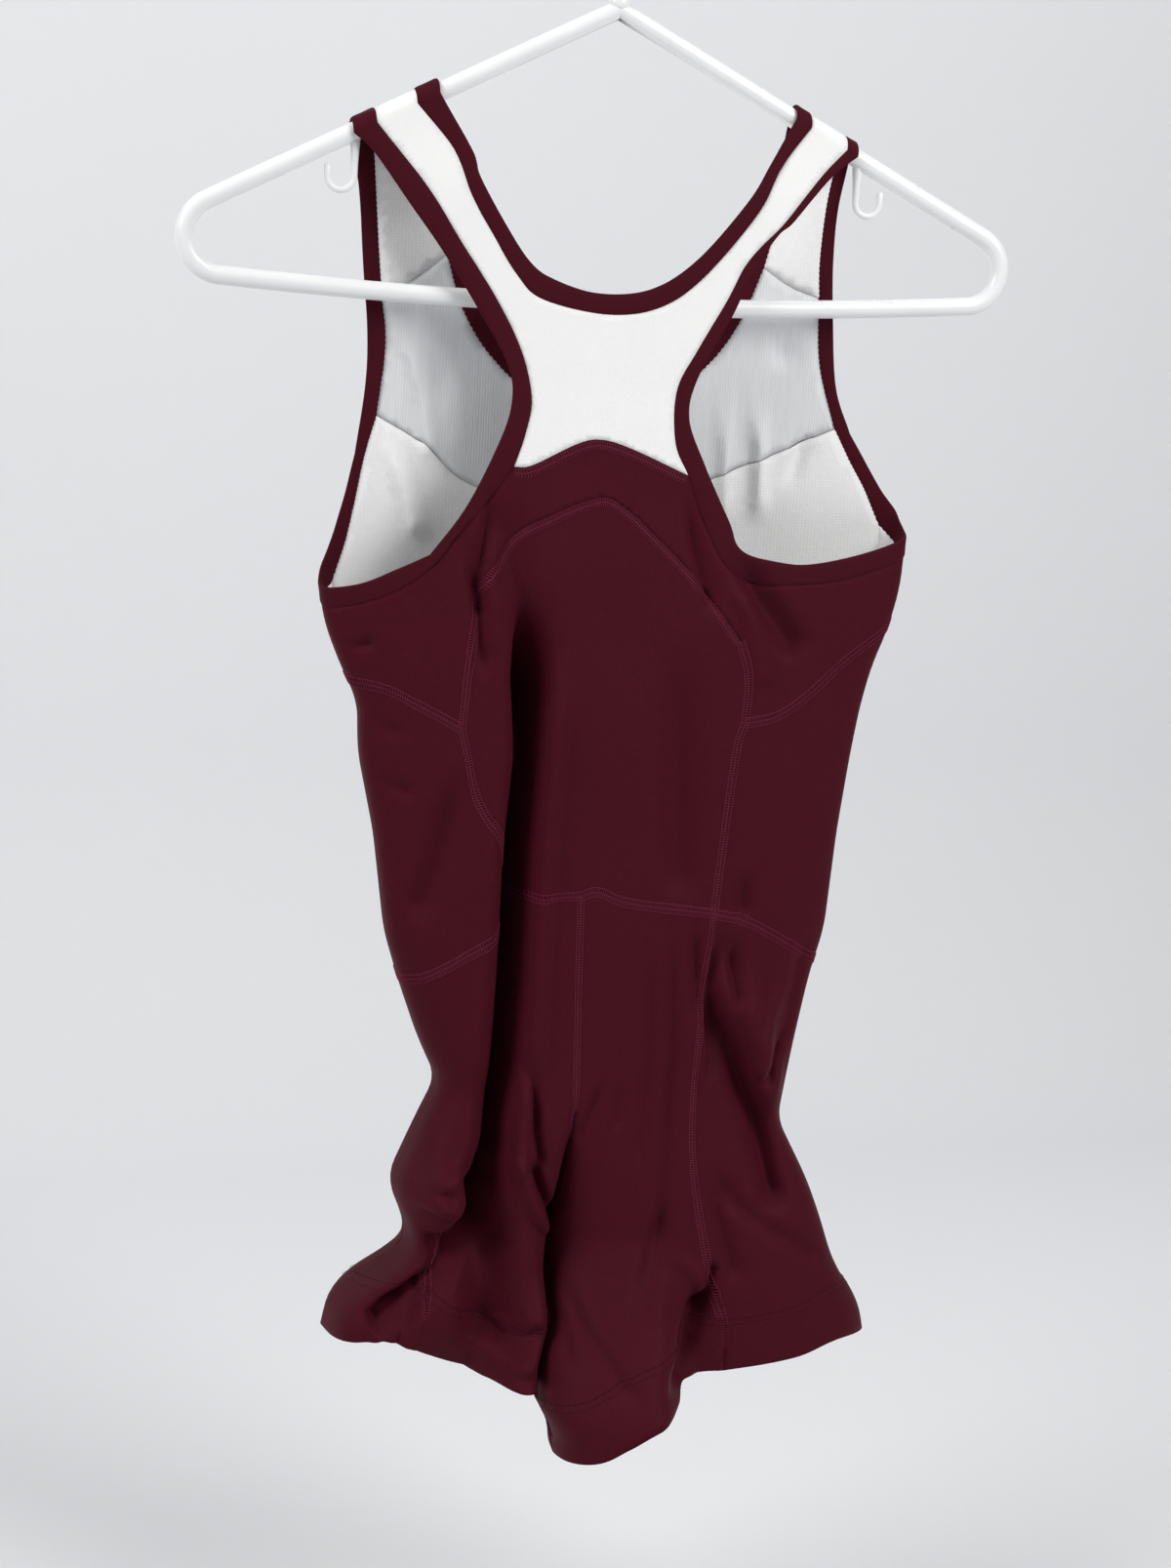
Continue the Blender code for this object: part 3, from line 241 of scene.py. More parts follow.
# Finer folds of the back: depth, half-widths, taper at the ends, how sharp the crease is, from 0, a
# round trough, to 1, a cusp, and the path. A negative depth makes a ridge.
FINE_FOLDS = {
    "valley floor": (26, 8, 17, 60, 0.0, ((-40, -340), (-37, -396), (-39, -434), (-42, -476), (-42, -540),
        (-44, -584), (-49, -624), (-55, -648))),
    "valley edge": (-5, 7, 10, 50, 0.0, ((-23, -372), (-23, -396), (-28, -497), (-30, -584), (-37, -624))),
    "valley low": (12, 7, 13, 30, 0.0, ((-48, -612), (-52, -640), (-58, -668))),
    "upper valley": (5, 10, 14, 36, 0.0, ((-50, -296), (-47, -330), (-44, -352), (-41, -378), (-40, -408))),
    "strap slit": (4.5, 6, 7, 26, 0.0, ((-57, -290), (-60, -320), (-62, -346))),
    "strap fold": (2.0, 5, 7, 26, 0.1, ((-52, -294), (-54, -325), (-55, -356))),
    "princess crease": (3.5, 6, 8, 26, 0.0, ((-70, -318), (-66, -341), (-62, -360), (-59, -392))),
    "princess pocket": (3.5, 6, 7, 12, 0.0, ((-67, -334), (-63, -348), (-62, -362))),
    "tuck ridge": (-2.5, 5, 6, 18, 0.0, ((-56, -316), (-57, -346), (-56, -380))),
    "right strap crease": (4, 5, 11, 28, 0.2, ((39, -290), (45, -326), (57, -362))),
    "underarm ridge": (-3, 8, 9, 18, 0.0, ((68, -336), (77, -366), (83, -396))),
    "upper waist hollow": (3.5, 7, 8, 14, 0.0, ((80, -484), (78, -500), (79, -512))),
    "lower waist hollow": (5, 6, 8, 20, 0.0, ((75, -514), (75, -534), (80, -560))),
    "seat hollow left": (4, 6, 7, 22, 0.0, ((53, -506), (54, -530), (57, -562))),
    "seat hollow right": (6.5, 5, 9, 26, 0.0, ((66, -510), (62, -545), (65, -596))),
    "seat line left": (2.6, 6, 7, 34, 0.0, ((41, -506), (43, -579), (42, -608), (38, -680))),
    "seat line middle": (2.0, 6, 6, 30, 0.0, ((30, -520), (31, -570), (27, -640))),
    "seat line right": (3, 5, 7, 26, 0.0, ((68, -512), (73, -541), (84, -590))),
    "side shade": (3, 8, 8, 18, 0.0, ((115, -520), (111, -550), (105, -580))),
    "knee crease": (7, 7, 5, 16, 0.0, ((107, -568), (100, -586), (95, -600))),
    "knee ridge": (-3, 6, 6, 14, 0.0, ((102, -545), (93, -574), (89, -596))),
    "leg fan upper": (3.5, 7, 9, 20, 0.1, ((64, -634), (78, -657), (98, -672), (130, -692))),
    "leg fan lower": (3.5, 6, 8, 18, 0.1, ((67, -642), (71, -668), (80, -698))),
    "centre crease": (6, 5, 6, 22, 0.1, ((-31, -570), (-27, -602), (-26, -616), (-22, -640))),
    "centre ridge": (-4, 7, 6, 20, 0.0, ((-36, -578), (-36, -611), (-33, -640))),
    "wedge ridge": (-5, 5, 4, 12, 0.0, ((-37, -626), (-28, -651), (-15, -673))),
    "crotch wedge": (8, 5, 6, 12, 0.1, ((-30, -628), (-22, -649), (-14, -667))),
    "seam crease": (2.5, 5, 5, 12, 0.1, ((9, -588), (2, -607), (-4, -624))),
    "seam tick": (1.6, 4, 5, 12, 0.1, ((15, -588), (16, -618))),
    "lobe shade": (4, 9, 10, 20, 0.0, ((41, -652), (33, -685), (21, -710))),
    "bulge crescent": (2, 4, 4, 10, 0.0, ((-95, -650), (-86, -642), (-78, -641), (-68, -646))),
    "flap bulge": (-10, 22, 18, 30, 0.0, ((-88, -585), (-82, -630), (-78, -668))),
    "bulge roll": (-9, 8, 6, 12, 0.0, ((-97, -652), (-79, -648), (-58, -646))),
    "flap roll": (-12, 11, 6, 14, 0.0, ((-58, -644), (-73, -657), (-88, -671), (-103, -688))),
    "flap shadow": (22, 6, 20, 14, 0.0, ((-50, -630), (-58, -656), (-69, -668), (-81, -681), (-97, -698),
        (-112, -712))),
    "left leg hollow": (19, 22, 21, 30, 0.0, ((-50, -646), (-50, -684), (-48, -724))),
    "left leg below the flap": (24, 20, 75, 30, 0.0, ((-140, -765), (-44, -765))),
    "hem crease": (4, 5, 5, 14, 0.1, ((-78, -668), (-86, -684), (-85, -693), (-81, -700), (-88, -711),
        (-97, -728))),
    "outer crease": (2.5, 5, 6, 14, 0.1, ((-124, -702), (-105, -695), (-90, -680))),
    "hem hollow left": (9, 9, 9, 18, 0.0, ((-60, -712), (-38, -722), (-18, -714))),
    "hem hollow low": (5, 7, 7, 12, 0.0, ((-44, -733), (-30, -736), (-20, -722))),
    "lobe crease": (3.5, 5, 8, 20, 0.2, ((-14, -684), (-5, -711), (4, -724), (16, -742))),
    "lobe tick": (4, 5, 5, 12, 0.1, ((-12, -692), (-12, -711), (-14, -728))),
    "hem pocket": (5, 6, 5, 12, 0.0, ((54, -713), (64, -701), (68, -684))),
    "lobe rim": (-2, 6, 6, 14, 0.0, ((44, -680), (57, -690), (61, -698), (56, -709), (45, -717),
        (32, -730))),
    "knee pocket left": (3, 5, 5, 8, 0.1, ((-66, -586), (-72, -592), (-78, -597))),
    "upper nick": (3, 5, 6, 10, 0.1, ((-134, -379), (-121, -377), (-110, -373))),
    "side crease": (2, 6, 7, 12, 0.0, ((-119, -410), (-107, -415), (-94, -420))),
    "lower nick": (2.5, 6, 7, 12, 0.0, ((-113, -440), (-102, -444), (-88, -449))),
}

# Where a fold's lip leans over: the shift in X and in Z, half-widths, taper and path.
LEANS = {
    "valley lip": (4.5, 0.0, 14, 7, 50, ((-46, -385), (-47, -434), (-51, -476), (-51, -540), (-52, -584),
        (-56, -624), (-60, -646))),
    "bulge": (1.5, -4.0, 7, 8, 8, ((-97, -648), (-79, -648), (-60, -646))),
    "flap": (2.5, -6.0, 9, 7, 10, ((-60, -648), (-73, -658), (-88, -672), (-101, -687))),
}

# Creases of the front, which show through the armholes. The depth is towards the back.
FRONT_FOLDS = {
    "left inner crease": (3, 5, 7, 24, 0.1, ((-102, -220), (-93, -240), (-86, -262), (-80, -290))),
    "left inner ridge": (-2, 6, 8, 22, 0.0, ((-82, -230), (-76, -262))),
    "left low crease": (4, 6, 9, 26, 0.1, ((-106, -270), (-96, -300), (-84, -330))),
    "right inner pleat": (4, 6, 9, 30, 0.1, ((84, -250), (88, -280), (90, -318))),
    "right inner crease": (3, 6, 8, 30, 0.1, ((68, -250), (70, -280), (72, -320))),
    "right low ridge": (-4, 6, 8, 20, 0.1, ((102, -302), (116, -270))),
    "right upper ridge": (-3, 8, 10, 20, 0.0, ((92, -205), (100, -240))),
}

# The cloth panels: the CAD node each one stands for, its ring, its outside and its inside finish, and
# the lines round it in order. A minus sign runs a line backwards.
PANELS = {
    "back_yoke_cloth": ("back_yoke", "body", "white_knit", "white_knit", ("back neck cloth",
        "right armhole cloth", "-yoke", "-left armhole cloth")),
    "back_upper_band_cloth": ("back_upper_band", "body", "maroon_knit", "white_lining", ("yoke",
        "right armhole lower", "right wrap upper", "-right side", "right princess upper", "-arc",
        "-left princess upper", "left side", "-left wrap upper", "-left armhole lower")),
    "back_center_cloth": ("back_center", "body", "maroon_knit", "white_lining", ("arc",
        "-right princess upper", "right princess", "-right centre waist", "-centre waist",
        "-left princess", "left princess upper")),
    "side_panel_left_cloth": ("side_panel_left", "body", "maroon_knit", "white_lining", ("left side",
        "left wrap", "-left waist wrap", "-left waist", "-left princess")),
    "side_panel_right_cloth": ("side_panel_right", "body", "maroon_knit", "white_lining", ("right side",
        "right wrap", "-right waist wrap", "-right waist", "-right princess")),
    "seat_panel_left_cloth": ("seat_panel_left", "left leg", "maroon_knit", "maroon_inside",
        ("centre waist", "centre back", "left inseam", "-left seat hem", "-left outer leg")),
    "seat_panel_right_cloth": ("seat_panel_right", "right leg", "maroon_knit", "maroon_inside",
        ("right centre waist", "right outer leg", "right seat hem", "-right inseam", "-centre back")),
    "outer_leg_left_cloth": ("outer_leg_panel_left", "left leg", "maroon_knit", "maroon_inside",
        ("left waist", "left waist wrap", "left leg wrap", "-left hem", "-left outer leg")),
    "outer_leg_right_cloth": ("outer_leg_panel_right", "right leg", "maroon_knit", "maroon_inside",
        ("right waist", "right waist wrap", "right leg wrap", "-right hem", "-right outer leg")),
    "front_strap_left_cloth": ("front_strap_left", "front body", "white_knit", "white_lining",
        ("front neck cloth left", "front left opaque", "-front left cloth top")),
    "front_strap_right_cloth": ("front_strap_right", "front body", "white_knit", "white_lining",
        ("front neck cloth right", "front right cloth top", "-front right opaque")),
    "front_sheer_mesh": ("front_mesh", "front body", "sheer_mesh", "sheer_mesh", ("front neck cloth",
        "front right opaque", "front right cloth", "-front lower seam", "-front left cloth",
        "-front left opaque")),
    "front_body_cloth": ("front_body", "front body", "maroon_knit", "white_lining", ("front lower seam",
        "-right front lower", "right wrap upper", "right wrap", "front right waist", "-front left waist",
        "-left wrap", "-left wrap upper", "left front lower")),
    "front_leg_left_cloth": ("front_leg_left", "front left leg", "maroon_knit", "maroon_inside",
        ("front left waist", "centre front", "left inseam", "-left front hem", "-left leg wrap")),
    "front_leg_right_cloth": ("front_leg_right", "front right leg", "maroon_knit", "maroon_inside",
        ("-front right waist", "right leg wrap", "right front hem", "-right inseam", "-centre front")),
}

# The bindings: the CAD node each one stands for, its ring, and the lines of its free and its sewn edge.
BINDINGS = {
    "neck_binding_back_tape": ("neck_binding_back", "body", ("back neck edge",), ("back neck cloth",)),
    "neck_binding_front_tape": ("neck_binding_front", "front body", ("front neck edge",),
        ("front neck cloth left", "front neck cloth", "front neck cloth right")),
    "armhole_binding_left_tape": ("armhole_binding_left", "body", ("back left armhole edge",
        "left armhole edge lower", "front left armhole edge"), ("left armhole cloth",
        "left armhole lower", "left front lower", "-front left cloth", "-front left cloth top")),
    "armhole_binding_right_tape": ("armhole_binding_right", "body", ("back right armhole edge",
        "right armhole edge lower", "front right armhole edge"), ("right armhole cloth",
        "right armhole lower", "right front lower", "-front right cloth", "-front right cloth top")),
}

# The flatlock seams: the piece, and for each line of it the ring and how far to the line's left its
# upper row, its middle row and its lower row run. The outer rows of the seams of the yoke and of the arc
# have rungs alone.
SEAMS = {
    "flatlock_yoke": (("yoke", "body", -0.6, -3.0, -5.2), ("arc", "body", 0.2, -2.2, -4.4)),
    "flatlock_princess": (
        ("left princess upper", "body", 2.0, 0.0, -2.0), ("left princess", "body", 2.0, 0.0, -2.0),
        ("right princess upper", "body", 2.4, 0.0, -2.4), ("right princess", "body", 2.4, 0.0, -2.4)),
    "flatlock_sides": (("left side", "body", 2.6, 0.0, -2.4), ("right side", "body", 2.4, 0.0, -2.4)),
    "flatlock_waist": (
        ("left waist", "body", 2.4, 0.0, -2.2), ("centre waist", "body", 2.2, 0.0, -2.0),
        ("right centre waist", "body", 2.4, 0.0, -2.4), ("right waist", "body", 2.4, 0.0, -2.4),
        ("left waist wrap", "left leg", 2.4, 0.0, -2.2), ("right waist wrap", "right leg", 2.4, 0.0, -2.4)),
    "flatlock_seat": (("centre back", "body", 2.2, 0.0, -2.2),),
    "flatlock_outer_legs": (
        ("left outer leg", "left leg", 2.0, 0.0, -2.0), ("right outer leg", "right leg", 2.0, 0.0, -2.0)),
    "flatlock_front": (
        ("front lower seam", "front body", 2.2, 0.0, -2.2),
        ("front left waist", "front body", 2.2, 0.0, -2.2),
        ("front right waist", "front body", 2.2, 0.0, -2.2), ("centre front", "front body", 2.2, 0.0, -2.2)),
    "flatlock_inseams": (
        ("left inseam", "left leg", 2.0, 0.0, -2.0), ("right inseam", "right leg", 2.0, 0.0, -2.0)),
}
BARE_EDGED = ("yoke", "arc")
HEMS = {
    "hem_stitches_left": (("left seat hem", "left leg"), ("left hem", "left leg"),
                          ("left front hem", "left leg")),
    "hem_stitches_right": (("right seat hem", "right leg"), ("right hem", "right leg"),
                           ("right front hem", "right leg")),
}


MAIN_ROWS = tuple(FOLDS.values())
FINE_ROWS = tuple(FINE_FOLDS.values())
FRONT_ROWS = tuple(FRONT_FOLDS.values())

# The width over which the fine folds fade at the legs' inner edges, and the length of cloth from an
# arm's height to its top.
INNER_RIM = 9.0
QUARTER = math.pi / 2 * CLOTH_R / math.cos(ARM_SLOPE)

# A turned hem's rise, and its stitches: their pitch, the gap between the rows and their width as a
# share of the seam thread's.
HEM_RISE = 0.45
HEM_PITCH = 3.1
HEM_ROW_GAP = 3.0
HEM_THREAD = 0.7

# A tape's cross-section, from its free edge to its sewn edge, as shares of its width and thickness.
TAPE_PROFILE = ((0.0, 0.35), (0.03, 0.8), (0.12, 1.0), (0.35, 0.96), (0.5, 0.94), (0.65, 0.96),
                (0.88, 1.0), (0.97, 0.8), (1.0, 0.35), (0.97, 0.02), (0.88, -0.06), (0.5, 0.0),
                (0.12, -0.06), (0.03, 0.02))
TAPE_LIFT = 0.25
SCALLOP = 0.055

# The least gap between points of a line, the height of a staggered row over its spacing, and the sides
# of the hanger's tubes.
LEAST_GAP = 0.3
ROW_RATIO = 0.866
TUBE_SIDES = 24
TINY = 1e-9


# ---- The cloth's surface ----

def column(table, names, name, z, blur):
    """A table's column at height z, read between its rows and rounded off at them."""
    rows = np.array(table, float)[::-1]
    index = names.index(name)
    z = np.asarray(z, float)
    shifts = (-1.0, -0.5, 0.0, 0.5, 1.0)
    return sum(np.interp(z + s * blur, rows[:, 0], rows[:, index]) for s in shifts) / len(shifts)


def section(name, z):
    return column(SECTIONS, SECTION_COLUMNS, name, z, SECTION_BLUR)


def leg(name, z):
    return column(LEGS, LEG_COLUMNS, name, z, LEG_BLUR)


def unit(vectors):
    """The vectors at a length of 1."""
    return vectors / np.maximum(np.linalg.norm(vectors, axis=-1), TINY)[..., None]


def ease(value):
    value = np.clip(value, 0.0, 1.0)
    return value * value * (3.0 - 2.0 * value)


def round_off(t):
    """The section's depth across its width: flat in the middle and round at both edges."""
    return (1.0 - np.minimum(np.abs(t), 1.0) ** 3) ** (1.0 / 3.0)


def side_edges(z):
    return section("left", z), section("right", z)


def inner_edges(z):
    return leg("left_inner", z), leg("right_inner", z)


def arm_height(x):
    return APEX_Z - np.abs(x) * math.tan(ARM_SLOPE)


def swing(x, z):
    """How far the inner parts of the legs swing to the back."""
    left_inner, right_inner = inner_edges(z)
    left, right = side_edges(z)
    parts = []
    for name, share, (full, none) in (
            ("left_swing", (left_inner - x) / (left_inner - left), LEFT_SWING_REACH),
            ("right_swing", (x - right_inner) / (right - right_inner), RIGHT_SWING_REACH)):
        parts.append(leg(name, z) * (1.0 - ease((share - full) / (none - full))))
    return np.where(x > (left_inner + right_inner) / 2, parts[1], parts[0])


def plain_depth(x, z, side):
    """Y of the cloth's inner face without folds; side is -1 on the back and 1 on the front."""
    left, right = side_edges(z)
    inner_left, inner_right = inner_edges(z)
    body = round_off((x - (left + right) / 2) / ((right - left) / 2))
    left_leg = round_off(2 * (x - left) / (inner_left - left) - 1)
    right_leg = round_off(2 * (x - inner_right) / (right - inner_right) - 1)
    legs = np.where(x <= inner_left, left_leg, np.where(x >= inner_right, right_leg, 0.0))
    split = ((1 - CROTCH_OPEN) * ease((GROOVE_TOP - z) / (GROOVE_TOP - CROTCH_Z))
             + CROTCH_OPEN * ease((CROTCH_Z - z) / JOINING))
    depth = section("back", z) if side < 0 else section("front", z)
    hang = ease((arm_height(x) - z) / SIDE_BLEND)
    depth = CLOTH_R * (1 - hang) + depth * hang * ((1 - split) * body + split * legs)
    return side * depth + swing(x, z)


def fold_weight(x, z, left_half, right_half, end_taper, sharp, path):
    """How much of a fold there is at each point, from 0 to 1. Only points near the path are measured."""
    total = np.zeros(np.shape(x))
    reach = max(left_half, right_half)
    path_x, path_z = zip(*path)
    near = ((x > min(path_x) - reach) & (x < max(path_x) + reach)
            & (z > min(path_z) - reach) & (z < max(path_z) + reach))
    if near.any():
        total[near] = fold_share(x[near], z[near], left_half, right_half, end_taper, sharp, path)
    return total


def fold_share(x, z, left_half, right_half, end_taper, sharp, path):
    """A fold's cross-section round its path, tapered at both ends."""
    best = np.full(np.shape(x), 1e9)
    signed = np.zeros(np.shape(x))
    along = np.zeros(np.shape(x))
    run = 0.0
    for (x0, z0), (x1, z1) in zip(path, path[1:]):
        length = math.hypot(x1 - x0, z1 - z0)
        ux, uz = (x1 - x0) / length, (z1 - z0) / length
        step = np.clip((x - x0) * ux + (z - z0) * uz, 0.0, length)
        dx, dz = x - x0 - step * ux, z - z0 - step * uz
        distance = np.hypot(dx, dz)
        nearer = distance < best
        best = np.where(nearer, distance, best)
        signed = np.where(nearer, uz * dx - ux * dz, signed)
        along = np.where(nearer, run + step, along)
        run += length
    half = np.where(signed < 0, right_half, left_half)
    share = np.minimum(best / half, 1.0)
    ends = ease(along / end_taper) * ease((run - along) / end_taper * 2.0)
    profile = (1 - sharp) * (0.5 + 0.5 * np.cos(math.pi * share)) + sharp * (1 - share) ** 2
    return ends * profile


def fold_depth(x, z, rows):
    """The sum of a table's folds at points of one side."""
    total = np.zeros(np.shape(x))
    for row in rows:
        depth, left_half, right_half, end_taper = row[:4]
        sharp, path = row[4:] if len(row) == 6 else (0.0, row[4])
        total = total + depth * fold_weight(x, z, left_half, right_half, end_taper, sharp, path)
    return total


def lean(x, z):
    """The shift in X and Z of the lips that lean over."""
    shift_x = np.zeros(np.shape(x))
    shift_z = np.zeros(np.shape(x))
    for across, down, left_half, right_half, end_taper, path in LEANS.values():
        weight = fold_weight(x, z, left_half, right_half, end_taper, 0.0, path)
        shift_x = shift_x + across * weight
        shift_z = shift_z + down * weight
    return shift_x, shift_z


def inner_rim(x, z):
    """Fades the fine folds at the legs' inner edges, where the back meets the front."""
    inner_left, inner_right = inner_edges(z)
    near = np.minimum(np.abs(x - inner_left), np.abs(x - inner_right))
    below = ease((CROTCH_Z + JOINING - z) / JOINING)
    return 1.0 - below * (1.0 - ease(near / INNER_RIM))


def ripple(x, z):
    """The slight unevenness of hanging cloth."""
    return (0.5 * np.sin(x / 17.0 + 0.6 * np.sin(z / 61.0)) * np.sin(z / 83.0 + x / 90.0)
            + 0.25 * np.sin(x / 8.0 + z / 33.0) * np.sin(z / 47.0 + 1.3))


def folded(x, y, z, side):
    """Points with their folds, and those above the arm laid over it. z is the length along the cloth."""
    left, right = side_edges(z)
    rim = ease((x - left) / FOLD_RIM) * ease((right - x) / FOLD_RIM)
    low = ease((FOLD_TOP - z) / FOLD_FADE)
    hang = ease((arm_height(x) - z - 10.0) / SIDE_BLEND)
    depth = fold_depth(x, z, MAIN_ROWS) + fold_depth(x, z, FINE_ROWS) * inner_rim(x, z)
    back = (depth * low + ripple(x, z) * hang) * rim
    front = -(fold_depth(x, z, FRONT_ROWS) * hang + ripple(x + 40.0, z) * hang) * rim
    y = y + np.where(side < 0, back, front)
    shift_x, shift_z = lean(x, z)
    share = np.where(side < 0, rim, 0.0)
    x, z = x + shift_x * share, z + shift_z * share
    over = np.clip(z - arm_height(x), 0.0, QUARTER)
    angle = over / QUARTER * math.pi / 2
    top = over > 0
    y = np.where(top, side * CLOTH_R * np.cos(angle), y)
    height = np.where(top, arm_height(x) + CLOTH_R / math.cos(ARM_SLOPE) * np.sin(angle), z)
    return np.stack([x, y, height], -1)


def surface(x, z, side):
    """Points of the cloth's inner face."""
    x, z, side = np.broadcast_arrays(np.asarray(x, float), np.asarray(z, float), np.asarray(side))
    y = np.where(side < 0, plain_depth(x, z, -1), plain_depth(x, z, 1))
    return folded(x, y, z, side)


def ring_edges(ring, z):
    """Where a ring's back starts and ends; the legs' rings meet at the centre above the crotch."""
    left, right = side_edges(z)
    inner_left, inner_right = inner_edges(z)
    half_gap = (inner_right - inner_left) / 2 * ease((z - CROTCH_Z + JOINING) / JOINING)
    if ring == "body":
        return left, right
    if ring == "left leg":
        return left, inner_left + half_gap
    return inner_right - half_gap, right


def ring_width(ring):
    return BODY_RING if ring == "body" else LEG_RING


# Each ring's section curve is worked out once, on a net of heights and of lengths along it.
NET_TOP = -50.0
NET_STEP = 2.0
NET_ROWS = 372
NET_PLACES = 260
NETS = {}


def ring_net(ring):
    """For both sides of a ring, x and the plain depth on a net of heights and ring coordinates."""
    if ring in NETS:
        return NETS[ring]
    z = NET_TOP - NET_STEP * np.arange(NET_ROWS)[:, None]
    first, last = ring_edges(ring, z)
    share = (1 - np.cos(np.linspace(0, math.pi, 320))) / 2
    x = first + (last - first) * share
    wanted = np.linspace(0, 1, NET_PLACES)
    sides = []
    for side in (-1, 1):
        y = plain_depth(x, np.broadcast_to(z, x.shape), side)
        run = np.cumsum(np.hypot(np.diff(x, axis=1), np.diff(y, axis=1)), axis=1)
        run = np.concatenate([np.zeros((NET_ROWS, 1)), run], axis=1)
        run = run / run[:, -1:]
        net_x = np.array([np.interp(wanted, a, b) for a, b in zip(run, x)])
        net_y = np.array([np.interp(wanted, a, b) for a, b in zip(run, y)])
        sides.append((net_x, net_y))
    NETS[ring] = sides
    return sides


def between(table, row, place):
    """A net's value between its rows and places."""
    i = np.clip(row.astype(int), 0, table.shape[0] - 2)
    j = np.clip(place.astype(int), 0, table.shape[1] - 2)
    a, b = row - i, place - j
    return ((table[i, j] * (1 - b) + table[i, j + 1] * b) * (1 - a)
            + (table[i + 1, j] * (1 - b) + table[i + 1, j + 1] * b) * a)


def roll(ring, r, z):
    """The x, plain depth and side of ring coordinates."""
    width = ring_width(ring)
    r = np.atleast_1d(np.asarray(r, float)) % (2 * width)
    z = np.broadcast_to(np.asarray(z, float), r.shape)
    side = np.where(r <= width, -1, 1)
    place = np.minimum(r, 2 * width - r) / width * (NET_PLACES - 1)
    row = (NET_TOP - z) / NET_STEP
    back, front = ring_net(ring)
    x = np.where(side < 0, between(back[0], row, place), between(front[0], row, place))
    y = np.where(side < 0, between(back[1], row, place), between(front[1], row, place))
    return x, y, side


def unroll(ring, x, z, side, near):
    """The ring coordinate of a point, 0 to the width across the back; near picks it on the front."""
    net = ring_net(ring)[0 if side < 0 else 1][0]
    row = min(max((NET_TOP - z) / NET_STEP, 0.0), NET_ROWS - 1.001)
    i = int(row)
    places = net[i] * (1 - row + i) + net[i + 1] * (row - i)
    r = float(np.interp(x, places, np.linspace(0, ring_width(ring), NET_PLACES)))
    return r if side < 0 else min(-r, 2 * ring_width(ring) - r, key=lambda value: abs(value - near))


def cloth_points(ring, r, z):
    x, y, side = roll(ring, r, z)
    return folded(x, y, np.broadcast_to(np.asarray(z, float), x.shape), side)


def cloth_normals(ring, r, z, front, step=0.6):
    """The outward direction of the cloth. Above the crotch it runs on across a leg ring's inner edge."""
    r, z = np.broadcast_arrays(np.atleast_1d(np.asarray(r, float)), np.asarray(z, float))
    width = ring_width(ring)
    around = cloth_points(ring, r + step, z) - cloth_points(ring, r - step, z)
    if ring != "body":
        start = width if front else 0.0
        inner = start + (width if (ring == "left leg") != front else 0.0)
        side = np.full(len(r), 1 if front else -1)
        x = roll(ring, np.clip(r, start + EDGE_ROUND, start + width - EDGE_ROUND), z)[0]
        across = (surface(x + step, z, side) - surface(x - step, z, side)) * -side[:, None]
        open_edge = (np.abs(r - inner) < 2 * step) & (z > CROTCH_Z - JOINING / 2)
        around = np.where(open_edge[:, None], across, around)
    up = cloth_points(ring, r, z + step) - cloth_points(ring, r, z - step)
    return unit(np.cross(around, up))


# ---- Seam lines ----

def run_of(path):
    """The length along a path at each of its points."""
    return np.concatenate([[0.0], np.cumsum(np.linalg.norm(np.diff(path, axis=0), axis=1))])


def sampled(path, run, places):
    """A path's points at some lengths along it."""
    return np.stack([np.interp(places, run, path[:, k]) for k in range(2)], -1)


def resample(path, step, least=2):
    """A path in equal steps."""
    run = run_of(path)
    return sampled(path, run, np.linspace(0, run[-1], max(least, round(run[-1] / step)) + 1))


def spline(points, step):
    """A Catmull-Rom curve through the points, with a sample about every step."""
    points = np.array(points, float)
    ends = np.vstack([2 * points[0] - points[1], points, 2 * points[-1] - points[-2]])
    curve = []
    for p0, p1, p2, p3 in zip(ends, ends[1:], ends[2:], ends[3:]):
        for t in np.linspace(0, 1, 16, endpoint=False):
            curve.append(0.5 * (2 * p1 + (p2 - p0) * t + (2 * p0 - 5 * p1 + 4 * p2 - p3) * t * t
                                + (3 * p1 - p0 - 3 * p2 + p3) * t ** 3))
    return resample(np.vstack([curve, points[-1:]]), step, 1)


def over_arm(x):
    """Points over the hanger's arm, from the arm's height to the top."""
    return [(x, float(arm_height(x)) + s) for s in np.linspace(0, QUARTER, ARC_STEPS + 1)]


def flat_line(points, side, step):
    """A seam line on one side as samples of x, z and side."""
    points = list(points)
    head = over_arm(points[0][0])[::-1] if points[0][1] is TOP else []
    tail = over_arm(points[-1][0]) if points[-1][1] is TOP else []
    if head:
        points[0] = head[-1]
    if tail:
        points[-1] = tail[0]
    middle = [tuple(p) for p in spline(points, step)]
    return [(x, z, side) for x, z in head[:-1] + middle + tail[1:]]


def ring_line(ring, points, step):
    """A seam line drawn smooth round the ring, also over its edges."""
    flat = []
    for kind, a, z in points:
        near = flat[-1][0] if flat else 0.0
        flat.append((a if kind == RING else unroll(ring, a, z, -1 if kind == BACK else 1, near), z))
    r, z = spline(flat, step).T
    x, _, side = roll(ring, r, z)
    return [(float(a), float(b), int(c)) for a, b, c in zip(x, z, side)]


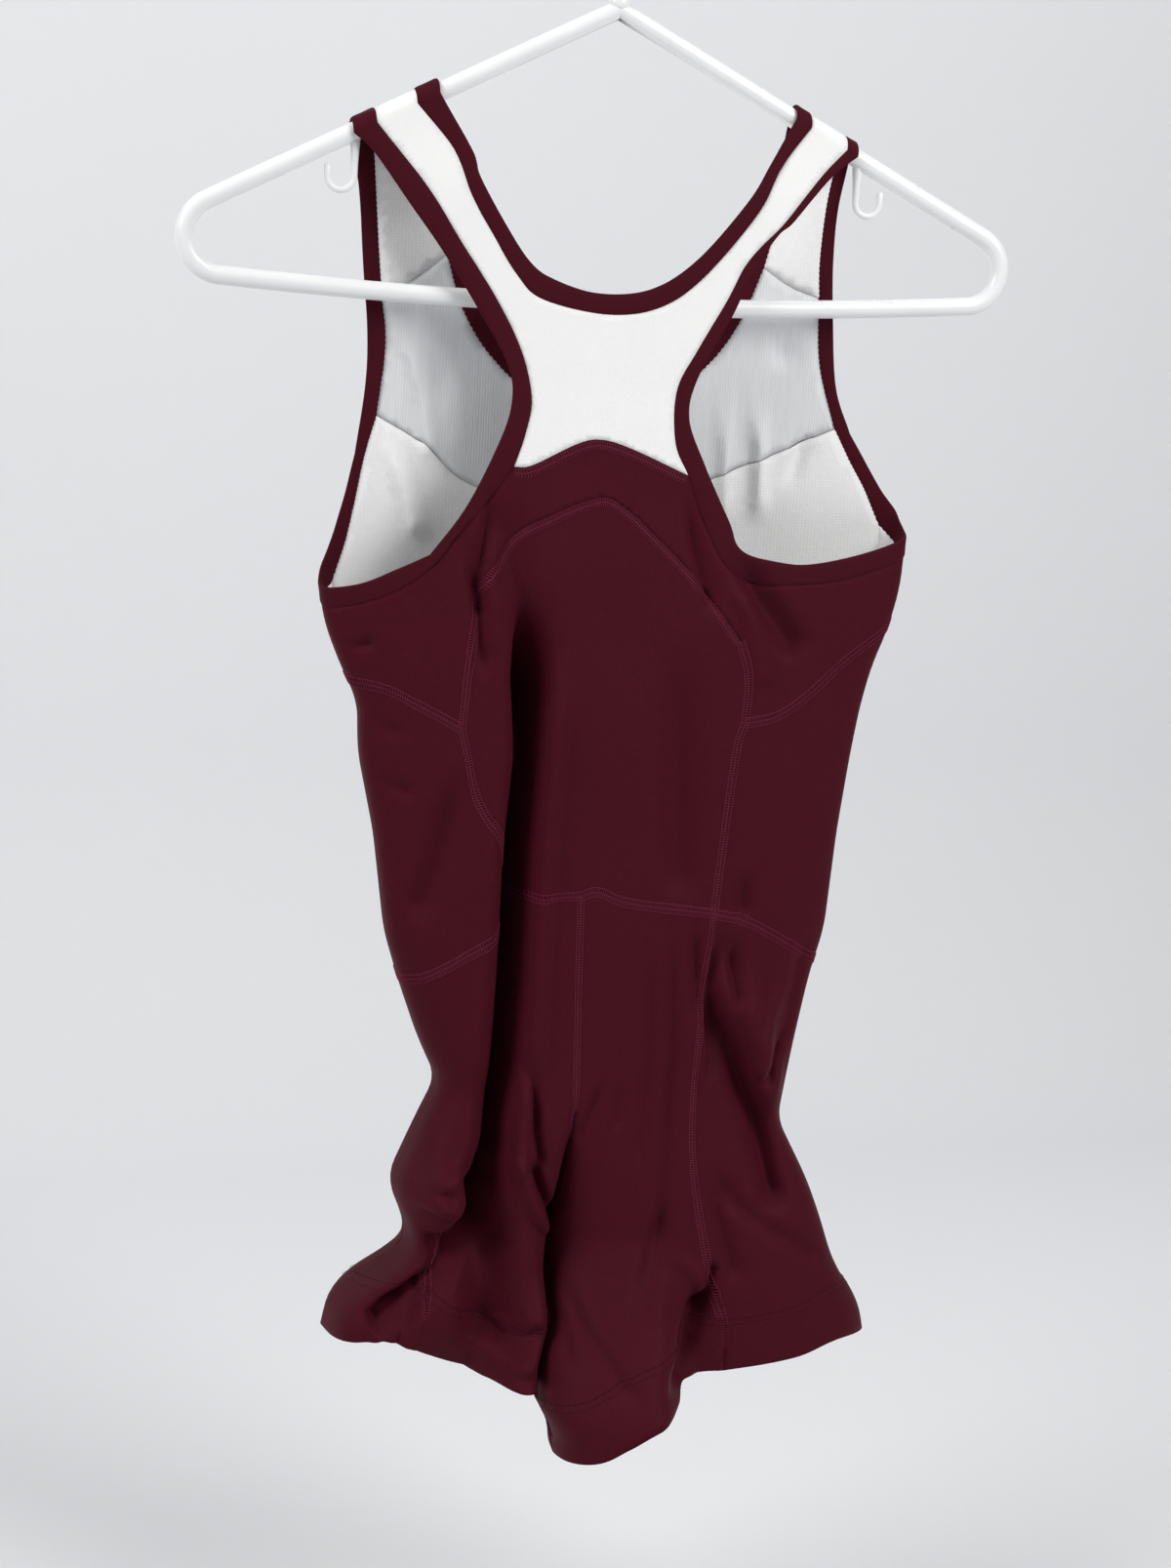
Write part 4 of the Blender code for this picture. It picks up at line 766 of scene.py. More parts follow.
def centre_lines(step):
    """The centre seams down to the crotch, and the inner seams from there to the hems."""
    lines = {}
    for name, side, top in (("centre back", -1, BACK_WAIST_Z), ("centre front", 1, FRONT_WAIST_Z)):
        heights = np.linspace(top, CROTCH_Z, round((top - CROTCH_Z) / step) + 1)
        lines[name] = [(float(sum(inner_edges(z))) / 2, z, side) for z in heights]
    for name, ring, index, bottom in (("left inseam", "left leg", 1, LEFT_HEM_INSIDE),
                                      ("right inseam", "right leg", 0, RIGHT_HEM_INSIDE)):
        heights = np.linspace(CROTCH_Z, bottom, round((CROTCH_Z - bottom) / step) + 1)
        lines[name] = [(float(ring_edges(ring, z)[index]), z, -1) for z in heights]
    return lines


def snap_ends(lines, reach=3.0):
    """Gives lines that meet below the arms one common point."""
    meeting = []
    for name in sorted(lines):
        for index in (0, -1):
            x, z, side = lines[name][index]
            if z > arm_height(x) + 1.0:
                continue
            point = surface(x, z, side)
            for other, sample in meeting:
                if np.linalg.norm(other - point) < reach:
                    lines[name][index] = sample
                    break
            else:
                meeting.append((point, lines[name][index]))
    return lines


def all_lines(step):
    lines = {}
    for name, points in LINES.items():
        lines[name] = flat_line(points, 1 if name.startswith("front") else -1, step)
    for name, (ring, points) in RING_LINES.items():
        lines[name] = ring_line(ring, points, step)
    lines.update(centre_lines(step))
    return snap_ends(lines)


LINE_SETS = {}


def seam_lines(step):
    if step not in LINE_SETS:
        LINE_SETS[step] = all_lines(step)
    return LINE_SETS[step]


def joined_line(ring, names, lines, closed=False):
    """Lines one after the other, in ring coordinates."""
    front = ring.startswith("front ")
    ring = ring.replace("front ", "")
    path = []
    near = ring_width(ring) * (1.5 if front else 0.5)
    for name in names:
        line = lines[name[1:]][::-1] if name.startswith("-") else lines[name]
        for x, z, side in line:
            if path and not front and not closed:
                near = path[-1][0]
            point = (unroll(ring, x, z, 1 if front else side, near), z)
            if not path or math.dist(path[-1], point) > LEAST_GAP:
                path.append(point)
    return ring, np.array(path)


def outline_of(ring, names, lines):
    """A panel's outline in ring coordinates, counter-clockwise."""
    ring, outline = joined_line(ring, names, lines, closed=True)
    if math.dist(outline[0], outline[-1]) < LEAST_GAP:
        outline = outline[:-1]
    after = np.roll(outline, -1, 0)
    area = np.sum(outline[:, 0] * after[:, 1] - outline[:, 1] * after[:, 0])
    return ring, (outline if area > 0 else outline[::-1])


def spread(points, outline, clearance):
    """Those of the points that lie inside the outline and clear of it."""
    points = np.array(points, float).reshape(-1, 2)
    crossings = np.zeros(len(points), int)
    nearest = np.full(len(points), np.inf)
    for (x0, y0), (x1, y1) in zip(outline, np.roll(outline, -1, 0)):
        spans = (y0 > points[:, 1]) != (y1 > points[:, 1])
        height = y1 - y0 if y1 != y0 else TINY
        crossings += spans & (points[:, 0] < x0 + (points[:, 1] - y0) / height * (x1 - x0))
        run = np.array((x1 - x0, y1 - y0))
        share = np.clip(((points - (x0, y0)) @ run) / (run @ run), 0, 1)
        nearest = np.minimum(nearest, np.linalg.norm(points - (x0, y0) - share[:, None] * run, axis=1))
    return points[(crossings % 2 == 1) & (nearest > clearance)]


def warp(points):
    """Ring coordinates with the hanger's slope taken out near its arms, so that rows run along them."""
    r, z = np.array(points, float).T
    x = roll("body", r, z)[0]
    rise = (arm_height(x) - APEX_Z) * ease((z - arm_height(x) + SIDE_BLEND) / SIDE_BLEND)
    return np.stack([r, z - rise], -1)


def grid_inside(outline, spacing):
    """Staggered rows of points inside an outline."""
    low, high = outline.min(0), outline.max(0)
    grid = []
    for row, z in enumerate(np.arange(low[1], high[1], spacing * ROW_RATIO)):
        grid.extend((r + spacing / 2 * (row % 2), z) for r in np.arange(low[0], high[0], spacing))
    return spread(grid, outline, spacing * 0.55)


def refined(ring, points, spacing):
    """The points, with four in place of each where the cloth is steep or bends sharply."""
    r, z = points.T
    step = spacing / 2
    middle = cloth_points(ring, r, z)
    bend = np.zeros(len(points))
    for dr, dz in ((step, 0.0), (0.0, step)):
        ahead = cloth_points(ring, r + dr, z + dz)
        behind = cloth_points(ring, r - dr, z - dz)
        stretch = np.linalg.norm(ahead - behind, axis=1) / (2 * step) - 1.0
        sag = np.linalg.norm((ahead + behind) / 2 - middle, axis=1) / step
        bend = np.maximum(bend, np.maximum(stretch / 0.45, sag / 0.16))
    steep = bend > 1.0
    quarter = spacing / 4
    offsets = ((quarter, quarter), (-quarter, quarter), (quarter, -quarter), (-quarter, -quarter))
    finer = [points[steep] + offset for offset in offsets]
    return np.vstack([points[~steep], *finer])


# ---- Making meshes ----

def link(name, mesh):
    piece = bpy.data.objects.new(name, mesh)
    bpy.context.scene.collection.objects.link(piece)
    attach(piece, "root")
    return piece


def solid(name, points, faces, finishes):
    """A smooth mesh from points in millimetres, with its finishes in slots."""
    mesh = bpy.data.meshes.new(name)
    mesh.from_pydata((np.asarray(points) * MM).tolist(), [], faces)
    mesh.shade_smooth()
    for finish in finishes:
        mesh.materials.append(finish)
    return mesh


def faces_outward(mesh):
    body = bmesh.new()
    body.from_mesh(mesh)
    bmesh.ops.recalc_face_normals(body, faces=body.faces)
    body.to_mesh(mesh)
    body.free()


def lay_flat(mesh, places):
    """Gives the mesh its cloth coordinates: for each point its place across and along, in metres."""
    layer = mesh.uv_layers.new(name="cloth")
    for loop in mesh.loops:
        layer.data[loop.index].uv = places[loop.vertex_index]


def lofted(rows, sides, cyclic=False):
    """The faces of a row of rings, closed at both ends unless the last ring joins the first."""
    faces = []
    for row in range(rows if cyclic else rows - 1):
        first, second = row * sides, (row + 1) % rows * sides
        for k in range(sides):
            after = (k + 1) % sides
            faces.append((first + k, first + after, second + after, second + k))
    if not cyclic:
        faces.append(tuple(range(sides))[::-1])
        faces.append(tuple((rows - 1) * sides + k for k in range(sides)))
    return faces


def hem_rise(ring, names, r, z, cloth):
    """How far the cloth stands proud where its hem is turned up."""
    rise = np.zeros(len(r))
    lines = seam_lines(cloth.line_step / MM)
    for name in names:
        if not name.endswith("hem"):
            continue
        _, path = joined_line(ring, (name.lstrip("-"),), lines)
        path = path[np.argsort(path[:, 0])]
        top = np.interp(r, path[:, 0], path[:, 1]) + cloth.hem_depth / MM
        within = (r > path[0, 0] - 1.0) & (r < path[-1, 0] + 1.0)
        rise = np.maximum(rise, np.where(within, HEM_RISE * ease((top + 0.8 - z) / 1.6), 0.0))
    return rise


def cloth_panel(name, finishes, cloth):
    """One cloth panel between its seam lines, as a thin sheet with an outside and an inside."""
    node, ring, outside, inside, names = PANELS[name]
    front = ring.startswith("front ")
    spacing = cloth.front_spacing / MM if front else cloth.back_spacing / MM
    ring, outline = outline_of(ring, names, seam_lines(cloth.line_step / MM))
    within = grid_inside(outline, spacing)
    for finer in (spacing, spacing / 2):
        within = refined(ring, within, finer)
    points = np.vstack([outline, within])
    count = len(outline)
    edges = [(i, (i + 1) % count) for i in range(count)]
    flat = warp(points) if ring == "body" else points
    net = delaunay_2d_cdt([tuple(p) for p in flat], edges, [], 1, 1e-6)
    sources = [source[0] for source in net[3]]
    r, z = points[sources].T
    if front and ring != "body":
        # The centre front's edge counts as the back's, so points stop just short of it.
        r = np.clip(r, ring_width(ring) + 0.01, 2 * ring_width(ring) - 0.01)
    rise = cloth.stand_off / MM + hem_rise(ring, names, r, z, cloth)
    outer = cloth_points(ring, r, z) + rise[:, None] * cloth_normals(ring, r, z, front)
    mesh = solid(name, outer, net[2], (finishes[outside], finishes[inside]))
    lay_flat(mesh, np.stack([r, z], -1) * MM)
    piece = link(name, mesh)
    wall = piece.modifiers.new("cloth thickness", "SOLIDIFY")
    wall.thickness = cloth.mesh_thickness if outside == "sheer_mesh" else cloth.thickness
    wall.offset = -1.0
    wall.material_offset = 1
    wall.material_offset_rim = 0
    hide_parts(node)


def matched(edge, cloth, step):
    """Both edges of a tape, sampled together along its length."""
    edge_run, cloth_run = run_of(edge), run_of(cloth)
    count = max(2, round(edge_run[-1] / step))
    places = np.linspace(0, edge_run[-1], count + 1)
    along = sampled(edge, edge_run, places)
    share = places / edge_run[-1] * cloth_run[-1]
    for _ in range(12):
        across = sampled(cloth, cloth_run, share)
        ahead = sampled(cloth, cloth_run, np.minimum(share + 0.5, cloth_run[-1]))
        behind = sampled(cloth, cloth_run, np.maximum(share - 0.5, 0.0))
        share = share + 0.5 * np.sum((along - across) * unit(ahead - behind), axis=1)
        share[0], share[-1] = 0.0, cloth_run[-1]
        share = np.maximum.accumulate(np.clip(share, 0.0, cloth_run[-1]))
        share = np.convolve(np.pad(share, 6, mode="edge"), np.ones(13) / 13, mode="valid")
        share[0], share[-1] = 0.0, cloth_run[-1]
    return along, sampled(cloth, cloth_run, share), edge_run[-1]


def tape(name, finishes, cloth):
    """A folded binding: a rounded band between its free edge and the line it is sewn on."""
    node, whole_ring, edge_names, cloth_names = BINDINGS[name]
    front = whole_ring.startswith("front ")
    lines = seam_lines(cloth.line_step / MM)
    ring, edge = joined_line(whole_ring, edge_names, lines)
    _, sewn = joined_line(whole_ring, cloth_names, lines)
    edge, sewn, length = matched(edge, sewn, cloth.tape_step / MM)
    run = np.linspace(0, length, len(edge))
    thickness = cloth.tape_thickness / MM
    pucker = 1.0 + 0.05 * np.sin(run / 2.9) * np.sin(run / 17.0)
    scallop = np.abs(np.sin(math.pi * run / (cloth.scallop_pitch / MM)))
    points = []
    for across, height in TAPE_PROFILE:
        inner = height < 0.5 and across > 0.6
        place = across + SCALLOP * scallop * inner
        r, z = (edge + (sewn - edge) * place[:, None]).T
        rise = TAPE_LIFT + thickness * height * pucker
        points.append(cloth_points(ring, r, z) + rise[:, None] * cloth_normals(ring, r, z, front))
    faces = lofted(len(edge), len(TAPE_PROFILE))
    mesh = solid(name, np.stack(points, 1).reshape(-1, 3), faces, (finishes["binding_tape"],))
    lay_flat(mesh, [(across * 0.01, along * MM) for along in run for across, _ in TAPE_PROFILE])
    faces_outward(mesh)
    piece = link(name, mesh)
    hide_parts(node)


class Thread:
    """Collects strips of thread, each with a ridge along its middle, into one mesh."""

    def __init__(self):
        self.points = []
        self.faces = []
        self.count = 0

    def add(self, paths, normals, width, height):
        """Adds strips of equal numbers of points; paths and normals are by strip, point and axis."""
        tangent = np.gradient(paths, axis=1)
        across = unit(np.cross(normals, tangent)) * (width / 2)
        ring = np.stack([paths - across, paths + normals * height, paths + across, paths - normals * 0.1], 2)
        strips, length = paths.shape[:2]
        first = self.count + 4 * length * np.arange(strips)[:, None, None]
        at = first + 4 * np.arange(length - 1)[None, :, None]
        k = np.arange(4)[None, None, :]
        after = (k + 1) % 4
        walls = np.stack([at + k, at + after, at + after + 4, at + k + 4], -1).reshape(-1, 4)
        last = first[:, 0, 0] + 4 * (length - 1)
        starts = first[:, 0, 0][:, None] + np.array((3, 2, 1, 0))
        ends = last[:, None] + np.array((0, 1, 2, 3))
        self.points.append(ring.reshape(-1, 3))
        self.faces.append(np.concatenate([walls, starts, ends]))
        self.count += 4 * length * strips

    def mesh(self, name, finish):
        return solid(name, np.concatenate(self.points), np.concatenate(self.faces).tolist(), (finish,))


def sideways(path):
    """The unit direction to the left of a path in ring coordinates."""
    tangent = unit(np.gradient(path, axis=0))
    return np.stack([-tangent[:, 1], tangent[:, 0]], -1)


def on_cloth(ring, paths, lift, cloth, front=False):
    """Points and outward directions on the cloth's outside, lifted off it, by strip, point and axis."""
    r, z = paths.reshape(-1, 2).T
    normals = cloth_normals(ring, r, z, front)
    points = cloth_points(ring, r, z) + (cloth.stand_off / MM + lift) * normals
    shape = (*paths.shape[:2], 3)
    return points.reshape(shape), normals.reshape(shape)


def flatlock(name, finishes, cloth):
    """Flatlock stitching: three rows of thread along each seam, joined by rungs across."""
    thread = Thread()
    lines = seam_lines(cloth.line_step / MM)
    width, pitch = cloth.thread_width / MM, cloth.stitch_pitch / MM
    for seed, (line, ring, upper, central, lower) in enumerate(SEAMS[name]):
        ring, path = joined_line(ring, (line,), lines)
        path = resample(path, pitch)
        side = sideways(path)
        chance = np.random.default_rng(seed + len(name))
        rows = ((upper, 0.8, 0.05), (central, 1.15, 0.1), (lower, 0.8, 0.05))
        for offset, thickness, lift in rows[1:2] if line in BARE_EDGED else rows:
            points, normals = on_cloth(ring, (path + side * offset)[None], lift, cloth)
            points = points + normals * chance.normal(0.0, 0.06, len(path))[None, :, None]
            thread.add(points, normals, width * thickness, width * 0.55)
        middle = (path[1:] + path[:-1]) / 2
        ahead = path[1:] - path[:-1]
        left = (side[1:] + side[:-1]) / 2
        for low, high in ((central, upper), (lower, central)):
            steps = np.linspace(low, high, 4)[None, :, None]
            share = np.linspace(-0.5, 0.5, 4)[None, :, None]
            lean = 0.18 + 0.1 * chance.standard_normal(len(middle))
            rungs = middle[:, None] + left[:, None] * steps + ahead[:, None] * share * lean[:, None, None]
            points, normals = on_cloth(ring, rungs, 0.1, cloth)
            thread.add(points, normals, width * 0.85, width * 0.6)
    link(name, thread.mesh(name, finishes["seam_thread"]))


def hem_stitches(name, finishes, cloth):
    """Two rows of short stitches that hold a turned hem."""
    thread = Thread()
    lines = seam_lines(cloth.line_step / MM)
    width = cloth.thread_width / MM * HEM_THREAD
    for line, ring in HEMS[name]:
        front = line.endswith("front hem")
        _, path = joined_line(ring, (line,), lines)
        path = resample(path, HEM_PITCH)
        for rise in (cloth.hem_depth / MM, cloth.hem_depth / MM - HEM_ROW_GAP):
            row = path + np.array((0.0, rise))
            share = np.linspace(0.12, 0.88, 4)[None, :, None]
            stitches = row[:-1, None] + (row[1:] - row[:-1])[:, None] * share
            points, normals = on_cloth(ring, stitches, HEM_RISE, cloth, front)
            thread.add(points, normals, width, width * 0.5)
    link(name, thread.mesh(name, finishes["hem_thread"]))


# ---- The hanger ----

def arc_points(centre_x, centre_z, radius, start, end, count):
    """Points of an arc in the hanger's plane, by angle from +X in degrees."""
    angles = np.radians(np.linspace(start, end, count))
    return [(centre_x + radius * math.cos(a), 0.0, centre_z + radius * math.sin(a)) for a in angles]


def frame_path():
    """The hanger's triangle: two arms, two round ends and the bowed bar."""
    slope = math.degrees(ARM_SLOPE)
    centre_x = HALF_SPAN - END_R
    bar_end = BAR_Z - BAR_BOW * (1 - (centre_x / HALF_SPAN) ** 2)
    right = arc_points(centre_x, bar_end + END_R, END_R, 90 - slope, -90, 25)
    bar = [(x, 0.0, BAR_Z - BAR_BOW * (1 - (x / HALF_SPAN) ** 2))
           for x in np.linspace(centre_x, -centre_x, 33)[1:-1]]
    apex = arc_points(0.0, APEX_Z - APEX_ROUND / math.sin(math.radians(90 - slope)), APEX_ROUND,
                      90 + slope, 90 - slope, 5)
    left = [(-x, y, z) for x, y, z in right[::-1]]
    return apex + right + bar + left


def hook_path():
    """The hook: up from the apex, and over a bend whose inside crown is the origin."""
    centre_z = HOOK_TUBE_R - HOOK_BEND_R
    bend = arc_points(0.0, centre_z, HOOK_BEND_R, -30, 215, 48)
    neck = spline([(0.0, APEX_Z + 2), (0.0, APEX_Z + 12), (4.0, centre_z - 28), (bend[0][0], bend[0][2])],
                  1.5)
    return [(x, 0.0, z) for x, z in neck[:-1]] + bend


def cup_path(side):
    """A small hook under an arm: a stem that turns up and outwards."""
    top = float(arm_height(CUP_X))
    low = top - CUP_STEM
    bend = [(CUP_X + CUP_BEND_R - CUP_BEND_R * math.cos(a), low - CUP_BEND_R * math.sin(a))
            for a in np.linspace(0, math.pi, 22)]
    stem = [(CUP_X, z) for z in np.linspace(top, low, 14)[:-1]]
    path = stem + bend + [(CUP_X + 2 * CUP_BEND_R, low + CUP_TIP)]
    return [(side * x, 0.0, z) for x, z in path]


def tube_piece(name, path, radii, finish, cyclic=False):
    """A round tube along a path in the hanger's plane, with rounded ends."""
    path = np.array(path, float)
    count = len(path)
    if cyclic:
        tangent = np.roll(path, -1, 0) - np.roll(path, 1, 0)
    else:
        tangent = np.gradient(path, axis=0)
    tangent = unit(tangent)
    across = np.stack([-tangent[:, 2], np.zeros(count), tangent[:, 0]], -1)
    out = np.array((0.0, 1.0, 0.0))
    angles = np.linspace(0, 2 * math.pi, TUBE_SIDES, endpoint=False)
    radii = np.broadcast_to(np.asarray(radii, float), (count,))
    points = np.stack([path + radii[:, None] * (math.cos(a) * across + math.sin(a) * out) for a in angles], 1)
    if not cyclic:
        caps = []
        for index, sign in ((0, -1.0), (-1, 1.0)):
            for share in (0.5, 0.8, 0.97):
                centre = path[index] + sign * tangent[index] * radii[index] * 0.8 * share
                caps.append(centre + (points[index] - path[index]) * math.sqrt(1 - share * share))
        points = np.concatenate([caps[2::-1], points, caps[3:]])
    mesh = solid(name, points.reshape(-1, 3), lofted(len(points), TUBE_SIDES, cyclic), (finish,))
    faces_outward(mesh)
    piece = link(name, mesh)
    return piece


# ---- Finishes ----

def set_inputs(node, **inputs):
    """A node's unlinked inputs; an underscore in a name stands for a space."""
    for name, value in inputs.items():
        node.inputs[name.replace("_", " ")].default_value = value


def feed(tree, socket, value):
    """Links a socket to an input, or sets the input to a plain value."""
    if isinstance(value, bpy.types.NodeSocket):
        tree.links.new(value, socket)
    else:
        socket.default_value = value


def mixed(tree, factor, first, second, blend="MIX"):
    """A colour mix; each input is a socket or a colour."""
    mix = tree.nodes.new("ShaderNodeMix")
    mix.data_type = "RGBA"
    mix.blend_type = blend
    for socket, value in ((mix.inputs[0], factor), (mix.inputs[6], first), (mix.inputs[7], second)):
        feed(tree, socket, value)
    return mix.outputs[2]


def calculated(tree, operation, first, second):
    """A math node; each input is a socket or a number."""
    math_node = tree.nodes.new("ShaderNodeMath")
    math_node.operation = operation
    for socket, value in zip(math_node.inputs, (first, second)):
        feed(tree, socket, value)
    return math_node.outputs[0]


def scaled(tree, first, first_share, second, second_share):
    """The sum of two patterns, each times its share."""
    return calculated(tree, "ADD", calculated(tree, "MULTIPLY", first, first_share),
                      calculated(tree, "MULTIPLY", second, second_share))


def new_finish(name):
    finish = bpy.data.materials.new(name)
    finish.use_nodes = True
    return finish, finish.node_tree, finish.node_tree.nodes["Principled BSDF"]


def shade(colour, factor):
    return (*(channel * factor for channel in colour[:3]), 1.0)


def place_node(tree, stretch=(1.0, 1.0, 1.0)):
    """Object coordinates, stretched so that a pattern's scale is in lines a metre."""
    place = tree.nodes.new("ShaderNodeTexCoord")
    mapping = tree.nodes.new("ShaderNodeMapping")
    mapping.inputs["Scale"].default_value = stretch
    tree.links.new(place.outputs["Object"], mapping.inputs["Vector"])
    return mapping.outputs["Vector"]


def pattern_of(tree, kind, vector, **inputs):
    made = tree.nodes.new(kind)
    set_inputs(made, **inputs)
    tree.links.new(vector, made.inputs["Vector"])
    return made


def noise(tree, vector, **inputs):
    return pattern_of(tree, "ShaderNodeTexNoise", vector, **inputs).outputs["Fac"]


def waves(tree, vector, direction, **inputs):
    made = pattern_of(tree, "ShaderNodeTexWave", vector, **inputs)
    made.bands_direction = direction
    return made.outputs["Fac"]


def emboss(tree, shader, height, strength, distance=0.0004):
    """Raises the surface by a pattern."""
    bump = tree.nodes.new("ShaderNodeBump")
    set_inputs(bump, Strength=strength, Distance=distance)
    tree.links.new(height, bump.inputs["Height"])
    tree.links.new(bump.outputs["Normal"], shader.inputs["Normal"])


def roughen(tree, shader, pattern, share, least):
    """Varies the roughness by a pattern."""
    rough = calculated(tree, "ADD", calculated(tree, "MULTIPLY", pattern, share), least)
    tree.links.new(rough, shader.inputs["Roughness"])


def tint(tree, shader, pattern, colour, low, high):
    """Varies the colour by a pattern, between two shades of it."""
    base = mixed(tree, pattern, shade(colour, low), shade(colour, high))
    tree.links.new(base, shader.inputs["Base Color"])


def knit(name, colour, roughness, sheen, sheen_tint, grain, ribs, relief, mottle):
    """Fine knitted cloth: wales and courses, a soft mottle, a grainy bump and a sheen."""
    finish, tree, shader = new_finish(name)
    vector = place_node(tree)
    wales = waves(tree, vector, "X", Scale=ribs, Distortion=1.2, Detail=1.0, Detail_Scale=3.0)
    courses = waves(tree, vector, "Z", Scale=ribs * 1.3, Distortion=1.5, Detail=1.0, Detail_Scale=3.0)
    fine = noise(tree, vector, Scale=grain, Detail=3.0, Roughness=0.6)
    wide = noise(tree, vector, Scale=14.0, Detail=3.0, Roughness=0.55)
    pattern = scaled(tree, calculated(tree, "MULTIPLY", wales, courses), 0.45, fine, 0.9)
    base = mixed(tree, pattern, shade(colour, 1.0 - mottle * 1.6), shade(colour, 1.0 + mottle * 1.4))
    low = mixed(tree, wide, shade(WHITE, 1.0 - mottle), shade(WHITE, 1.0 + mottle * 0.6))
    tree.links.new(mixed(tree, 1.0, base, low, "MULTIPLY"), shader.inputs["Base Color"])
    emboss(tree, shader, pattern, relief)
    roughen(tree, shader, fine, 0.16, roughness - 0.08)
    set_inputs(shader, Specular_IOR_Level=0.05, Sheen_Weight=sheen, Sheen_Roughness=0.45,
               Sheen_Tint=(*sheen_tint, 1.0))
    return finish


def ribbed_mesh(name, colour, alpha):
    """Thin sheer mesh with fine uneven ribs."""
    finish, tree, shader = new_finish(name)
    ribs = waves(tree, place_node(tree), "X", Scale=230.0, Distortion=2.2, Detail=2.0, Detail_Scale=1.2)
    streaks = noise(tree, place_node(tree, (1.0, 1.0, 0.06)), Scale=420.0, Detail=3.0, Roughness=0.6)
    pattern = scaled(tree, ribs, 0.4, streaks, 0.8)
    tint(tree, shader, pattern, colour, 0.86, 1.12)
    emboss(tree, shader, pattern, 0.35)
    set_inputs(shader, Roughness=0.7, Alpha=alpha, Sheen_Weight=0.15)
    return finish


def thread_finish(name, colour, variation):
    """Twisted polyester thread."""
    finish, tree, shader = new_finish(name)
    twist = noise(tree, place_node(tree), Scale=900.0, Detail=2.0, Roughness=0.6)
    tint(tree, shader, twist, colour, 1.0 - variation, 1.0 + variation)
    set_inputs(shader, Roughness=0.5, Specular_IOR_Level=0.05, Sheen_Weight=0.02)
    return finish


def moulded_plastic(name, colour):
    """Smooth moulded plastic with faint flow marks and handling wear."""
    finish, tree, shader = new_finish(name)
    vector = place_node(tree)
    flow = noise(tree, vector, Scale=26.0, Detail=4.0, Roughness=0.6)
    tint(tree, shader, flow, colour, 0.95, 1.03)
    roughen(tree, shader, flow, 0.22, 0.20)
    emboss(tree, shader, noise(tree, vector, Scale=650.0, Detail=2.0), 0.08, 0.0002)
    set_inputs(shader, Subsurface_Weight=0.12, Subsurface_Radius=(0.004, 0.004, 0.004),
               Subsurface_Scale=1.0, Coat_Weight=0.15)
    return finish


def paper(name, colour):
    """Matt studio paper, clear from behind so that it never hides the object."""
    finish, tree, shader = new_finish(name)
    tint(tree, shader, noise(tree, place_node(tree), Scale=2.2, Detail=2.0), colour, 0.985, 1.015)
    set_inputs(shader, Roughness=0.9, Specular_IOR_Level=0.1)
    side = tree.nodes.new("ShaderNodeNewGeometry")
    clear = tree.nodes.new("ShaderNodeBsdfTransparent")
    either = tree.nodes.new("ShaderNodeMixShader")
    tree.links.new(side.outputs["Backfacing"], either.inputs[0])
    tree.links.new(shader.outputs["BSDF"], either.inputs[1])
    tree.links.new(clear.outputs["BSDF"], either.inputs[2])
    output = next(node for node in tree.nodes if node.type == "OUTPUT_MATERIAL")
    tree.links.new(either.outputs["Shader"], output.inputs["Surface"])
    return finish


MAROON_SHEEN = (0.90, 0.24, 0.36)
WHITE = (1.0, 1.0, 1.0)

# The knits: the setting of the colour, the roughness, the sheen and its tint, the scales of the grain
# and of the ribs, the relief and the mottle.
KNITS = {
    "maroon_knit": ("maroon", 0.62, 0.04, MAROON_SHEEN, 620.0, 210.0, 0.3, 0.12),
    "maroon_inside": ("maroon_inside", 0.75, 0.03, MAROON_SHEEN, 620.0, 210.0, 0.3, 0.12),
    "white_knit": ("white", 0.72, 0.10, WHITE, 700.0, 260.0, 0.25, 0.02),
    "white_lining": ("lining", 0.75, 0.10, WHITE, 500.0, 180.0, 0.4, 0.04),
    "binding_tape": ("binding", 0.66, 0.05, MAROON_SHEEN, 800.0, 330.0, 0.3, 0.12),
}
FINISHES = {}


def finishes_of(look):
    """All of the object's finishes, made once."""
    if not FINISHES:
        for name, (colour, *values) in KNITS.items():
            FINISHES[name] = knit(name, getattr(look, colour), *values)
        FINISHES["sheer_mesh"] = ribbed_mesh("sheer_mesh", look.mesh, 0.86)
        FINISHES["seam_thread"] = thread_finish("seam_thread", look.thread, 0.25)
        FINISHES["hem_thread"] = thread_finish("hem_thread", look.hem_thread, 0.2)
        FINISHES["hanger_plastic"] = moulded_plastic("hanger_plastic", look.plastic)
    return FINISHES


# ---- Settings ----

def colour_setting(name, description, default):
    return FloatVectorProperty(name=name, description=description, default=default, subtype="COLOR",
                               size=3, min=0, max=1)


def length_setting(name, description, default, least, most):
    return FloatProperty(name=name, description=description, default=default, min=least, max=most,
                         unit="LENGTH")


def power_setting(name, description, default):
    return FloatProperty(name=name, description=description, default=default, min=0, max=500,
                         unit="POWER")


